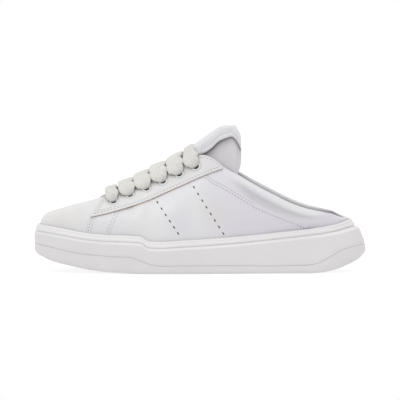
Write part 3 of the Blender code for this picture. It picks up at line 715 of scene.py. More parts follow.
def build_upper(finishes):
    """The upper's leather shell: a ring of closed sections, outer face, rolled top edge and lining.

    Where the collar is padded, bells by the distance below the topline swell the face over the fold that
    the table gives, sink it along the fold and swell it again below. The lining stands in by the wall, which
    grows by the collar's pad towards the topline, and a half ellipse joins both at the top. Creases and the
    patches of warm tint and lilac painted shade come from their tables. Distances to the seams and shares of
    roll, trough and inside go to the finish as marks, where they paint a highlight on the roll, shade in the
    trough and light on the lining's top.
    """
    columns, hidden_rows, outer_rows, roll_rows, lining_rows = 640, 4, 92, 9, 34
    us = np.arange(columns) / columns
    points, walked = sections(us)
    shoulder = walked[:, CUP_SAMPLES : CUP_SAMPLES + 1] / walked[:, -1:]
    hidden = shoulder * np.linspace(0, 1, hidden_rows + 1)[None, :-1]
    outer_v = np.concatenate((hidden, shoulder + (1 - shoulder) * np.linspace(0, 1, outer_rows)), axis=1)
    face = softened(walk_to(points, walked, outer_v), 6)
    normal = grid_normals(face)
    along = loop_at(us)[0]
    below = (1 - outer_v) * walked[:, -1:]
    free = ramp(0, 4 * MM, (outer_v - shoulder) * walked[:, -1:]) * ramp(0, 6 * MM, below)
    padded = collar_share(along)[:, None]
    fold = curve(COLLAR_FOLD, "below", along)[:, None] * MM
    swell = ROLL_SWELL * hump(below, 0.4 * fold, 0.4 * fold)
    swell = swell - FOLD_DEPTH * (fold / COLLAR_BAND) * hump(below, fold, 0.36 * fold)
    swell = swell + LOWER_SWELL * hump(below, 14 * MM, 5 * MM)
    swell = swell + FOLD_LIP * hump(below, 1.7 * fold, 0.4 * fold)
    rise = swell * padded - crease_depth(face) * free
    outer = face + normal * rise[:, :, None]
    lining_v = (1 - np.linspace(0, 1, lining_rows) ** 1.3)[None, :] * np.ones((columns, 1))
    lining_face = softened(walk_to(points, walked, lining_v), 6)
    lining_normal = grid_normals(lining_face[:, ::-1])[:, ::-1]
    lining_below = (1 - lining_v) * walked[:, -1:]
    pad = 1.3 * (COLLAR_PAD - WALL) * padded * hump(lining_below, 0, 1.2 * COLLAR_BAND)
    wall = WALL + pad
    lining = lining_face - lining_normal * wall[:, :, None]
    # The rolled edge, a half ellipse from the outer face's last row to the lining's first
    middle = (outer[:, -1] + lining[:, 0]) / 2
    reach = outer[:, -1] - middle
    up = unit(outer[:, -1] - outer[:, -3])
    turn = np.linspace(0, math.pi, roll_rows + 2)[1:-1]
    high = (wall[:, 0] * ROLL_HEIGHT)[:, None, None]
    roll = middle[:, None] + reach[:, None] * np.cos(turn)[None, :, None]
    roll = roll + up[:, None] * high * np.sin(turn)[None, :, None]
    grid = np.concatenate((outer, roll, lining), axis=1)
    rows = grid.shape[1]
    faces = grid_faces(columns, rows, wrap_rows=True, wrap_columns=True)
    row_of = np.tile(np.arange(rows), columns)
    last_outer = outer.shape[1] + roll_rows + 7
    indices = (row_of >= last_outer).astype(int)
    over = np.concatenate((below, np.zeros((columns, roll_rows)), -lining_below), axis=1) / MM
    marks = {
        "vamp_seam": seam_distance(grid, VAMP_SEAM),
        "toe_panel_seam": seam_distance(grid, TOE_PANEL_SEAM),
        "quarter_seam": seam_distance(grid, QUARTER_SEAM),
        "tint_patch": tint_amount(grid),
        "roll": hump(over, 1.5, 3.0) * padded,
        "trough": hump(over, fold / MM, 0.4 * fold / MM) * padded,
        "inside": ramp(0.5, 2.5, -over),
    }
    made = piece("upper_leather", grid, faces, finishes, indices, marks)
    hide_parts("upper")
    return made


def ladder(loop_points, columns):
    """A grid across a closed loop: rows from its heel to its toe, each from the outer to the inner side."""
    half = len(loop_points) // 2
    outer = loop_points[: half + 1]
    inner = np.concatenate((loop_points[:1], loop_points[: half - 1 : -1]))
    t = np.linspace(0, 1, columns)[None, :, None]
    return outer[:, None] + (inner - outer)[:, None] * t


def slab(name, rings, finishes, bottom=None, top=None, columns=48, band=(0, 0)):
    """A closed slab with a ring at each height and ladders across its bottom and top.

    bottom and top give the height that is added at x, y and the distance in from the edge. The side's rings
    within the band have the second finish.
    """
    side = np.stack(rings, axis=1)
    blocks = [side.reshape(-1, 3)]
    faces = [grid_faces(side.shape[0], side.shape[1], wrap_rows=True)]
    ring_number = np.arange(side.shape[1] - 1)
    in_band = (ring_number >= band[0]) & (ring_number < band[1])
    kinds = [np.tile(in_band.astype(int), side.shape[0])]
    for ring_points, field, flip in ((rings[0], bottom, False), (rings[-1], top, True)):
        sheet = ladder(ring_points, columns)
        if field is not None:
            wide = np.linalg.norm(sheet[:, -1] - sheet[:, 0], axis=1)[:, None]
            t = np.linspace(0, 1, columns)[None, :]
            edge = np.minimum(t, 1 - t) * wide
            sheet[:, :, 2] += field(sheet[:, :, 0], sheet[:, :, 1], edge)
        new = grid_faces(sheet.shape[0], columns, first=sum(len(block) for block in blocks))
        faces.append(new[:, ::-1] if flip else new)
        kinds.append(np.zeros(len(new), dtype=int))
        blocks.append(sheet.reshape(-1, 3))
    return piece(name, np.concatenate(blocks), np.concatenate(faces), finishes, np.concatenate(kinds))


def blend_rings(loop, knots, counts):
    """Rings along a profile of (inset, height) knots, each stretch of it straight or bowed.

    knots: pairs of arrays. counts: for each stretch, how many rings it takes and how far it bows out, in mm.
    A stretch bows by sin(pi t) times its bow, square to the chord.
    """
    rings = []
    for (in_a, z_a), (in_b, z_b), (count, bow) in zip(knots, knots[1:], counts):
        run = in_b - in_a
        climb = z_b - z_a
        chord = np.maximum(np.hypot(run, climb), 1e-9)
        for t in np.arange(count) / count:
            out = bow * MM * math.sin(math.pi * t) / chord
            rings.append(ring(loop, in_a + run * t - out * climb, z_a + climb * t + out * run))
    rings.append(ring(loop, *knots[-1]))
    return rings


def tread(x, y, edge):
    """The outsole's pattern: cross grooves with sloping sides in the lug zones, and a recess at the arch."""
    share = x / SOLE_LENGTH + 0.5
    inner = ramp(LUG_MARGIN * 0.8, LUG_MARGIN * 1.2, edge)
    depth = np.zeros_like(x)
    for first, last in LUG_ZONES:
        count = int((last - first) * SOLE_LENGTH / LUG_PITCH)
        start = (first - 0.5) * SOLE_LENGTH
        away = np.abs((x - start + LUG_PITCH / 2) % LUG_PITCH - LUG_PITCH / 2)
        inside = (share > first - 0.5 * LUG_PITCH / SOLE_LENGTH) & (x < start + (count + 0.5) * LUG_PITCH)
        depth += LUG_DEPTH * (1 - ramp(0.35 * LUG_GROOVE, 0.65 * LUG_GROOVE, away)) * inside
    slope = 0.006
    arch = ramp(ARCH_START - slope, ARCH_START + slope, share)
    arch = arch * (1 - ramp(ARCH_END - slope, ARCH_END + slope, share))
    return (depth + ARCH_DEPTH * 0.8 * arch) * inner


def build_sole(cup_finishes, ground_finishes, bed_finishes):
    """Outsole, cupsole and footbed, each a slab round the same plan, its rings along a profile of knots."""
    loop = plan_loop(280)
    along = loop[:, 0]
    zero = np.zeros(len(along))
    slant = curve(CUP, "ledge", along) * HEEL_FLARE
    low = bottom_line(along)
    groove = groove_line(along)
    bead = bead_line(along)
    rim = rim_line(along)
    knots = (
        (zero + OUTSOLE_ROUND, low),
        (zero + OUTSOLE_ROUND * 0.2, low + (groove - low) * 0.35),
        (slant * 0.14 + OUTSOLE_ROUND * 0.2, groove - 0.9 * GAP),
        (slant * 0.16 + OUTSOLE_ROUND * 0.5, groove - 0.3 * GAP),
    )
    rings = blend_rings(loop, knots, ((6, 0.4), (8, 0.1), (3, 0.15)))
    ground = slab("outsole_rubber_piece", rings, ground_finishes, bottom=tread, columns=64)
    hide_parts("outsole")
    bead_in = curve(CUP, "bead", along) * HEEL_FLARE
    rim_in = rim_inset(along)
    knots = (
        (slant * 0.17 + OUTSOLE_ROUND * 0.5, groove - 0.1 * GAP),
        (slant * 0.17 + OUTSOLE_ROUND * 0.2, groove + 0.5 * GAP),
        (slant * 0.25 + OUTSOLE_ROUND * 0.02, groove + 0.15 * (bead - groove)),
        (slant, bead - LEDGE_HEIGHT + 0.5 * MM),
        (bead_in + 0.5 * MM, bead + 0.2 * MM),
        (bead_in - 0.2 * MM, bead + 0.8 * MM),
        (rim_in - 0.1 * MM, bead + 0.6 * BEAD_HEIGHT),
        (rim_in + 1.5 * MM, rim),
        (rim_in + RIM_WALL - 0.3 * MM, rim - 0.3 * MM),
        (rim_in + RIM_WALL + 0.15 * MM, rim - 0.8 * MM),
        (rim_in + RIM_WALL + 0.15 * MM, floor_line(along)),
    )
    below_bead = ((3, 0.05), (4, 0.05), (10, 0.1))
    bead_and_rim = ((8, 0.35), (4, 0), (8, 0.4), (8, 0.6), (3, 0.05), (3, 0.1))
    inside = ((6, 0),)
    rings = blend_rings(loop, knots, below_bead + bead_and_rim + inside)
    # The band over the ledge, bead and rim takes the lighter second finish, a painted highlight
    band = (sum(count for count, _ in below_bead), len(rings) - 7)
    cup = slab("cupsole_rubber_piece", rings, cup_finishes, columns=12, band=band)
    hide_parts("cupsole")
    inset = seat_inset(along) + WALL + 0.6 * GAP
    base = floor_line(along) + 0.4 * GAP
    knots = (
        (inset + 0.6 * MM, base),
        (inset, base + 0.3 * INSOLE_THICKNESS),
        (inset, base + 0.85 * INSOLE_THICKNESS),
        (inset + 0.35 * INSOLE_THICKNESS, base + 1.1 * INSOLE_THICKNESS),
        (inset + 1.2 * INSOLE_THICKNESS, base + 0.96 * INSOLE_THICKNESS),
    )
    rings = blend_rings(loop, knots, ((3, 0.1), (4, 0), (6, 0.35), (5, 0.1)))
    bed = slab("footbed_pad", rings, bed_finishes, top=footprint, columns=52)
    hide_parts("insole")


def footprint(x, y, edge):
    """How the footbed gives under the foot: bells for hollows at the heel and ball and a rise at the arch."""
    share = x / SOLE_LENGTH + 0.5
    inner = ramp(0, 16 * MM, edge)
    heel = hump(share, 0.86, 0.10)
    ball = hump(share, 0.30, 0.12)
    arch = hump(share, 0.57, 0.08) * ramp(-0.01, 0.03, y)
    return (1.6 * MM * arch - 1.4 * MM * heel - 0.9 * MM * ball) * inner


def eyelet_column(number):
    """x of the eyelets with this number, counted from the toe."""
    return (FIRST_EYELET - 0.5) * SOLE_LENGTH + number * EYELET_PITCH


def eyelet_place(number, side):
    """u and v on the upper of the eyelet with this number."""
    inset = EYELET_ROW["inset"][number] * EYELET_INSET
    us = loop_share(np.linspace(0.16, 0.58, 90), side)
    points, walked = sections(us)
    vs = 1 - inset / walked[:, -1]
    xs = walk_to(points, walked, vs[:, None])[:, 0, 0]
    target = eyelet_column(number)
    return float(np.interp(target, xs, us)), float(np.interp(target, xs, vs))


def thick_sheet(name, outer, inner, keep, finishes, marks=None):
    """A closed shell between two grids, with walls along every free edge of the faces that are kept.

    The walls along the grid's first column are its raw edge, with the second finish.
    """
    quads = grid_faces(*outer.shape[:2])[keep.ravel()]
    count = outer.shape[0] * outer.shape[1]
    start = quads.ravel()
    end = np.roll(quads, -1, axis=1).ravel()
    free = ~np.isin(start * count + end, end * count + start)
    start, end = start[free], end[free]
    walls = np.stack((end, start, start + count, end + count), axis=1)
    faces = np.concatenate((quads, quads[:, ::-1] + count, walls))
    raw = (start % outer.shape[1] == 0) & (end % outer.shape[1] == 0)
    kinds = np.concatenate((np.zeros(2 * len(quads), dtype=int), raw.astype(int)))
    points = np.concatenate((outer.reshape(-1, 3), inner.reshape(-1, 3)))
    doubled = {mark: np.tile(values.ravel(), 2) for mark, values in (marks or {}).items()}
    return piece(name, points, faces, finishes, kinds, doubled)


def eyestay_sheet(side, columns=260, rows=56):
    """The eyestay's grid on the upper, its normals and the distance across it from its lower edge, in metres.

    Its front edge bows in: each row starts further back by FRONT_BOW * sin(pi * (0.1 + 0.8 * row)).
    """
    along = np.linspace(EYESTAY_EDGE["along"][0], EYESTAY_EDGE["along"][-1], columns)
    us = loop_share(along, side)
    points, walked = sections(us)
    low = (curve(EYESTAY_EDGE, "height", along) * COLLAR_FRONT_HEIGHT)[:, None]
    rank = (points[:, :, 2] < low).sum(axis=1)
    rows_of = np.arange(len(us))
    before, after = points[rows_of, rank - 1, 2], points[rows_of, rank, 2]
    part = (low[:, 0] - before) / (after - before)
    low_way = walked[rows_of, rank - 1] * (1 - part) + walked[rows_of, rank] * part
    low_v = (low_way / walked[:, -1])[:, None]
    vs = low_v + (1 - low_v) * np.linspace(0, 1, rows)[None, :]
    across = (vs - low_v) * walked[:, -1:]
    pitch = (along[-1] - along[0]) * SOLE_LENGTH / (columns - 1)
    start = FRONT_BOW / pitch * np.sin(math.pi * (0.1 + 0.8 * np.linspace(0, 1, rows)))
    place = start[None, :] + (columns - 1 - start)[None, :] * np.linspace(0, 1, columns)[:, None]
    low = np.minimum(place.astype(int), columns - 2)
    part = (place - low)[:, :, None]
    row = np.arange(rows)[None, :]
    grid = np.concatenate((walk_to(points, walked, vs), outward(us, vs), across[:, :, None]), axis=2)
    grid = grid[low, row] * (1 - part) + grid[low + 1, row] * part
    return grid[:, :, :3], unit(grid[:, :, 3:6]), grid[:, :, 6]


def rim_points(gone):
    """The points of a grid that touch both a quad that is gone and one that is kept."""
    shape = (gone.shape[0] + 1, gone.shape[1] + 1)
    touched = np.zeros(shape, dtype=bool)
    kept_side = np.zeros(shape, dtype=bool)
    for i, j in ((0, 0), (1, 0), (0, 1), (1, 1)):
        window = (slice(i, i + gone.shape[0]), slice(j, j + gone.shape[1]))
        touched[window] |= gone
        kept_side[window] |= ~gone
    return touched & kept_side


def build_eyestay(side, name, node, finishes, thread, dark, faint):
    """A lace facing laid over the quarter, with its eyelets open and its rows of stitches.

    The quads within an eyelet's radius are left out and the points along their rim are drawn to it. Bells by
    the distance from the eyelet's middle raise a ring round it and sink a line round the ring.
    """
    face, normal, across = eyestay_sheet(side)
    height = across[:, -1:]
    lift = GAP + EYESTAY_THICKNESS
    edge = np.minimum(across, height - across) / MM
    sunk = 0.1 * MM * hump(edge, STITCH_INSET / MM, 0.7)
    rounded = 0.25 * MM * (1 - ramp(0, 0.8, edge))
    outer = face + normal * (lift - sunk - rounded)[:, :, None]
    inner = face + normal * GAP * 0.6
    middle_face = (face[:-1, :-1] + face[1:, 1:]) / 2
    keep = np.ones(middle_face.shape[:2], dtype=bool)
    ring_mark = np.full(face.shape[:2], FAR)
    for number in range(EYELETS):
        u, v = eyelet_place(number, side)
        centre = upper_face([u], [[v]])[0, 0]
        axis = outward([u], [[v]])[0, 0]
        away = face - centre
        away = away - (away @ axis)[:, :, None] * axis
        distance = np.linalg.norm(away, axis=2)
        gone = np.linalg.norm(middle_face - centre, axis=2) < EYELET_DIAMETER / 2
        shift = unit(away) * (EYELET_DIAMETER / 2 - distance)[:, :, None]
        shift = np.where(rim_points(gone)[:, :, None], shift, 0)
        outer = outer + shift
        inner = inner + shift
        ridge = RING_RIDGE * hump(distance, 0.43 * EYELET_RING, 0.6 * MM)
        ridge = ridge - RING_LINE * hump(distance, 0.57 * EYELET_RING, 0.35 * MM)
        outer = outer + normal * ridge[:, :, None]
        ring_mark = np.minimum(ring_mark, distance / MM)
        keep &= ~gone
        build_eyelet_well(f"{name}_well_{number + 1}", centre, axis, dark)
    marks = {"edge": edge, "ring": ring_mark}
    made = thick_sheet(name, outer, inner, keep, finishes, marks)
    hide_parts(node)
    share = STITCH_INSET / height[:, 0]
    rows = np.arange(face.shape[0])
    for row_name, shares, first, last, holes in (
        ("lower", share, 6, len(rows) - 4, dark),
        ("upper", 1 - share, 6, len(rows) - 1, dark),
        ("second", 1.75 * share, 9, 60, faint),
    ):
        place = shares * (face.shape[1] - 1)
        low = np.clip(np.floor(place).astype(int), 0, face.shape[1] - 2)
        part = (place - low)[:, None]
        path = outer[rows, low] * (1 - part) + outer[rows, low + 1] * part
        normals = normal[rows, low][first:last]
        stitch_row(f"{name}_stitches_{row_name}", path[first:last], normals, thread, holes)
    for column in (5, 11):
        path = outer[column, 4:-4]
        stitch_row(f"{name}_stitches_front_{column}", path, normal[column, 4:-4], thread, faint)


def build_eyelet_well(name, centre, axis, finish):
    """The dark inside of an eyelet: a shallow cup turned about its axis, closed below."""
    # A cup of painted shade standing in for the eyelet's dark inside
    across = unit(np.cross(axis, (1.0, 0.0, 0.0)))
    other = np.cross(axis, across)
    radius = EYELET_DIAMETER / 2
    turn = np.linspace(0, 2 * math.pi, 24, endpoint=False)
    flat = np.cos(turn)[:, None] * across + np.sin(turn)[:, None] * other
    rise = GAP + EYELET_WELL[:, 1] * EYESTAY_THICKNESS
    grid = centre + flat[:, None] * (EYELET_WELL[:, 0] * radius)[None, :, None] + axis * rise[None, :, None]
    faces = grid_faces(len(turn), len(EYELET_WELL), wrap_rows=True)
    piece(name, grid, faces, [finish])


def between(at, walked, values):
    """The rows of values at the distances at, by straight steps between the distances walked."""
    return np.stack([np.interp(at, walked, values[:, k]) for k in range(3)], axis=1)


def walk(path):
    """The distance walked along a path at each of its points."""
    return np.concatenate(([0], np.cumsum(np.linalg.norm(np.diff(path, axis=0), axis=1))))


def evenly(path, normals, pitch, shift=0.5):
    """Places at even steps along a path, and the way and the normal at each."""
    walked = walk(path)
    count = max(int(walked[-1] / pitch), 1)
    at = (np.arange(count) + shift) * walked[-1] / count
    ahead = between(at + 0.4 * pitch, walked, path)
    behind = between(at - 0.4 * pitch, walked, path)
    return between(at, walked, path), unit(ahead - behind), unit(between(at, walked, normals))


def small_copies(name, centres, ways, normals, finish, forward, sideways, lifted):
    """Copies of one small closed grid, one at each centre.

    A point of a copy is its centre plus forward along its way, sideways across it and lifted along its
    normal.
    """
    side = unit(np.cross(normals, ways))
    points = centres[:, None, None]
    for way, part in ((ways, forward), (side, sideways), (normals, lifted)):
        points = points + way[:, None, None] * part[None, :, :, None]
    rings, around = lifted.shape
    faces = grid_faces(rings, around, wrap_columns=True)
    faces = (faces[None] + rings * around * np.arange(len(centres))[:, None, None]).reshape(-1, 4)
    piece(name, points, faces, [finish])


def stitch_row(name, path, normals, finish, dark, pitch=STITCH_PITCH, length=STITCH_LENGTH):
    """A row of stitches along a path on the leather: small arched rods between dark needle holes.

    Each rod is a grid of rings: half thickness * (1 - s^4), lifted by 0.3 thickness - 0.7 thickness * s^2,
    with s from -1 to 1 along it.
    """
    # The needle holes are dark lenses of painted shade
    holes = evenly(path, normals, pitch, shift=0.02)
    lens_row(name + "_holes", *holes, dark, NEEDLE_LENGTH, NEEDLE_WIDTH, rings=5)
    s = np.linspace(-1, 1, 7)[:, None]
    turn = np.linspace(0, 2 * math.pi, 6, endpoint=False)[None, :]
    size = STITCH_THICKNESS / 2 * (1 - s**4)
    forward = s * length / 2 + 0 * turn
    lifted = size * np.sin(turn) + STITCH_THICKNESS * (0.3 - 0.7 * s**2)
    small_copies(name, *evenly(path, normals, pitch), finish, forward, size * np.cos(turn), lifted)


def on_upper(surface, line, side):
    """Points and normals where places in the side view meet the upper on one side."""
    points = []
    normals = []
    for x, z in line:
        hit, normal, _, _ = surface.ray_cast(Vector((x * MM, side * 0.2, z * MM)), Vector((0, -side, 0)))
        if hit is not None:
            points.append(hit)
            normals.append(normal)
    return np.array(points), np.array(normals)


def dense_line(line, step=1.0):
    """A line of places with points at every step of its length, in mm, smoothed at its corners."""
    walked = np.concatenate(([0], np.cumsum(np.hypot(*np.diff(line, axis=0).T))))
    at = np.arange(0, walked[-1], step)
    columns = {"along": walked, "x": line[:, 0], "z": line[:, 1]}
    return np.stack((curve(columns, "x", at), curve(columns, "z", at)), axis=1)


def beside(line, distance):
    """A line moved sideways, to its right in the side view, by a distance in mm."""
    way = np.gradient(line, axis=0)
    way = way / np.hypot(way[:, 0], way[:, 1])[:, None]
    return line + np.stack((way[:, 1], -way[:, 0]), axis=1) * distance


def build_seams(upper, thread, pale_thread, dark, lilac, faint):
    """Stitch rows and ventilation slits on both sides of the upper, laid on it from the side view."""
    surface = BVHTree.FromObject(upper, bpy.context.evaluated_depsgraph_get())
    for side, word in ((-1, "lateral"), (1, "medial")):
        vamp = dense_line(VAMP_SEAM)
        vamp = vamp[vamp[:, 1] < VAMP_ROWS_TOP]
        for k, (shift, holes) in enumerate(zip(VAMP_ROWS, (dark, faint))):
            path, normals = on_upper(surface, beside(vamp, -shift), side)
            stitch_row(f"vamp_stitches_{word}_{k + 1}", path, normals, thread, holes, VAMP_PITCH, VAMP_LENGTH)
        panel = dense_line(TOE_PANEL_SEAM)
        for k, shift in enumerate(PANEL_ROWS):
            path, normals = on_upper(surface, beside(panel, shift), side)
            row_name = f"toe_panel_stitches_{word}_{k + 1}"
            stitch_row(row_name, path, normals, thread, faint, PANEL_PITCH, PANEL_LENGTH)
        quarter = dense_line(QUARTER_SEAM)
        path, normals = on_upper(surface, quarter, side)
        stitch_row(f"quarter_stitches_{word}_1", path, normals, pale_thread, lilac)
        path, normals = on_upper(surface, beside(quarter, -QUARTER_ROW)[: len(quarter) // 2], side)
        stitch_row(f"quarter_stitches_{word}_2", path, normals, pale_thread, faint)
        # The slits are dark lenses of painted shade
        for k, (first, last, count) in enumerate(SLIT_ROWS):
            t = np.linspace(0, 1, count)[:, None]
            places = np.array(first) * (1 - t) + np.array(last) * t
            centres, normals = on_upper(surface, places, side)
            ahead, _ = on_upper(surface, places + SLIT_WAY, side)
            ways = unit(ahead - centres)
            lens_row(f"vent_slits_{word}_{k + 1}", centres, ways, normals, dark, SLIT_LENGTH, SLIT_WIDTH)


def lens_row(name, centres, ways, normals, finish, length, width, rings=9):
    """Holes in the leather: each a low dark lens almost flush with it, (1 - s^4) wide for s from -1 to 1."""
    # Each lens is painted shade standing in for a hole's dark inside
    s = np.linspace(-1, 1, rings)[:, None]
    turn = np.linspace(0, 2 * math.pi, 8, endpoint=False)[None, :]
    size = 1 - s**4
    forward = s * length / 2 + 0 * turn
    sideways = size * np.cos(turn) * width / 2
    small_copies(name, centres, ways, normals, finish, forward, sideways, size * np.sin(turn) * LENS_RISE)


def crest_height(share):
    """Height of the tongue's middle line."""
    return curve(TONGUE, "throat", share) * COLLAR_FRONT_HEIGHT + curve(TONGUE, "stand", share) * TONGUE_STAND


def tongue_crest(x):
    """The tongue's middle line at x, as a point."""
    share = x / SOLE_LENGTH + 0.5
    return np.array((x, float(throat_centre(share)), float(crest_height(share))))


def arch_half(share):
    """Half width of the tongue's arch."""
    return curve(TONGUE, "half", share) * TONGUE_HALF_WIDTH


def arch_foot(share):
    """Height of the feet of the tongue's arch."""
    return curve(TONGUE, "foot", share) * crest_height(share)


def tongue_shell(share, turn, depth):
    """The tongue's arch at a depth under its outer face: an ellipse across it from foot over crest to foot.

    Near its end it is raked forward, by the square of the way past the bend and by a bell near the crest.
    """
    foot = arch_foot(share)
    y = throat_centre(share) + (arch_half(share) - depth) * np.sin(turn)
    z = foot + (crest_height(share) - foot - depth) * np.cos(turn)
    drop = np.abs(turn) / (math.pi / 2)
    bend = np.maximum(drop - TONGUE_BEND, 0) / (1 - TONGUE_BEND)
    rake = (TONGUE_RAKE * bend**2 + 0.8 * MM * hump(drop, 0.25, 0.3)) * ramp(0.59, 0.62, share)
    return np.stack(((share - 0.5) * SOLE_LENGTH - rake, y, z), axis=-1)


def pad_grid(share, reach, thick, hem=None, rows=110, sunk=0.0):
    """Closed sections of a pad over the tongue's arch, from one side edge over the crest and back inside.

    share: places along. reach: how far down each side it goes, 1 being a quarter turn. thick: its thickness
    by place. hem: how far its face stands out, by place and distance from the side edge. sunk: the depth of
    its face under the arch. The edges are half rounds: the depth runs down by a quarter circle at either end
    of each face. Both faces have the same steps across, so that they meet point by point where the thickness
    is nothing. Also gives the distance of each point from the side edge.
    """
    span = np.broadcast_to(reach, share.shape)[:, None] * math.pi / 2
    t = np.sin(np.linspace(-math.pi / 2, math.pi / 2, rows))[None, :]
    column = share[:, None]
    radius = arch_half(column)
    edge = np.maximum(0.5 * thick[:, None] / (span * radius), 1e-9)
    grids = []
    away = []
    for place, sign in ((t, -1.0), (t[:, -2:0:-1], 1.0)):
        depth = sunk + thick[:, None] / 2 * (1 + sign * quarter_round((1 - np.abs(place)) / edge))
        away.append((1 - np.abs(place)) * span * radius)
        if hem is not None and sign < 0:
            depth = depth - hem(column, away[0]) * np.minimum(thick[:, None] / MM, 1)
        grids.append(tongue_shell(column, place * span, depth))
    return np.concatenate(grids, axis=1), np.concatenate(away, axis=1)


def end_shares(first, last, count, round_reach):
    """Shares of the length from first to last, crowded toward both ends, and the thickness share at each."""
    t = (1 - np.cos(np.linspace(0, math.pi, count))) / 2
    share = first + (last - first) * t
    return share, quarter_round(np.minimum(share - first, last - share) * SOLE_LENGTH / round_reach)


def closed_ends(grid):
    """A grid with a row at either end drawn to a point, so that its ends close."""
    first = np.repeat(grid[:1].mean(axis=1, keepdims=True), grid.shape[1], axis=1)
    last = np.repeat(grid[-1:].mean(axis=1, keepdims=True), grid.shape[1], axis=1)
    return np.concatenate((first, grid, last))


def build_tongue(finish, tab_finish):
    """The padded tongue and the leather tab that wraps over its end, with a thick turned hem.

    The tongue's mark under_tab is its distance below the tab's edge: its turn round the arch less the tab's
    span, times the half width; its finish paints a shadow there. The tab is thickest where its front is sewn
    down.
    """
    first, last = TONGUE["along"][0], TONGUE["along"][-1]
    share, full = end_shares(first, last, 150, TONGUE_THICKNESS / 2)
    grid, _ = pad_grid(share, 1.0, TONGUE_THICKNESS * full)
    share = share[:, None]
    foot = arch_foot(share)
    half = arch_half(share)
    sideways = (grid[:, :, 1] - throat_centre(share)) / half
    turn = np.abs(np.arctan2(sideways, (grid[:, :, 2] - foot) / (crest_height(share) - foot)))
    under = (turn - curve(TAB, "span", share) * math.pi / 2) * half / MM
    under = np.where(share < TAB["along"][0], FAR, np.maximum(under, 0))
    marks = {"under_tab": under, "from_end": (last - share) * SOLE_LENGTH / MM + 0 * turn}
    faces = grid_faces(*grid.shape[:2], wrap_columns=True)
    made = piece("tongue_pad", grid, faces, [finish], marks=marks)
    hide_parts("tongue")
    share, full = end_shares(TAB["along"][0], last + TAB_OVERHANG, 130, 1.2 * MM)
    thick = (TAB_THICKNESS + TAB_SWELL * hump(share, TAB_SEWN, 0.012)) * full
    grid, away = pad_grid(share, curve(TAB, "span", share), thick, tab_hem, 90, -GAP - thick[:, None])
    faces = grid_faces(*grid.shape[:2], wrap_columns=True)
    marks = {"from_edge": away / MM + FAR * (1 - ramp(*HEM_START, share[:, None]))}
    made = piece("tongue_tab_leather", grid, faces, [tab_finish], marks=marks)
    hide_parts("tongue_tab")


def tab_hem(share, edge):
    """How the tab's face stands out near its edges: bells for a thin lip, a groove and a fat roll behind."""
    end = (TONGUE["along"][-1] + TAB_OVERHANG - share) * SOLE_LENGTH
    near = np.minimum(edge, end + 0 * edge)
    lip = 0.9 * MM * hump(near, 0.7 * MM, 0.8 * MM)
    groove = 0.25 * MM * hump(near, 2.0 * MM, 0.4 * MM)
    roll = 1.9 * MM * hump(near, 5.4 * MM, 2.4 * MM)
    return (lip + roll - groove) * ramp(*HEM_START, share)


def through(points, count):
    """Points evenly spaced along a smooth curve through the given points."""
    points = np.array(points)
    along = walk(points)
    even = np.linspace(0, along[-1], count)
    columns = {"along": along, "x": points[:, 0], "y": points[:, 1], "z": points[:, 2]}
    return np.stack([curve(columns, name, even) for name in "xyz"], axis=1)


def lace_path(number, count):
    """The middle line of one lace bar: out of an eyelet, over the throat and into its pair."""
    top = GAP + EYESTAY_THICKNESS
    high = top + 0.4 * GAP + LACE_THICKNESS / 2
    inset = EYELET_ROW["inset"][number] * EYELET_INSET
    # How far from the eyelet towards the throat, how high over the upper and how far leaned, at five points
    away = np.array((1.0 * MM, 1.5 * MM, 3.2 * MM, 0.55 * inset, inset))
    lifts = np.array((top - 1.2 * MM, top + 0.8 * MM, high + 0.5 * MM, high + 0.2 * MM, high + 0.5 * GAP))
    lean = np.array((0.1, 0.2, 0.45, 0.8, 0.97))
    sides = []
    for side in (-1, 1):
        u, v = eyelet_place(number, side)
        vs = (v + (1 - v) * away / inset)[None, :]
        sides.append((upper_face([u], vs) + outward([u], vs) * lifts[None, :, None])[0])
    crest_x = (sides[0][0, 0] + sides[1][0, 0]) / 2 - LACE_LEAN * LACE_BARS["lean"][number]
    crest = tongue_crest(crest_x)
    if number == 0:
        crest = 2 * tongue_crest(crest_x + EYELET_PITCH) - tongue_crest(crest_x + 2 * EYELET_PITCH)
    crest[2] += 2 * GAP + LACE_THICKNESS / 2 + LACE_BARS["lift"][number] * MM
    for points in sides:
        points[:, 0] = points[0, 0] + lean * (crest_x - points[0, 0])
    return through((*sides[0], crest, *sides[1][::-1]), count)


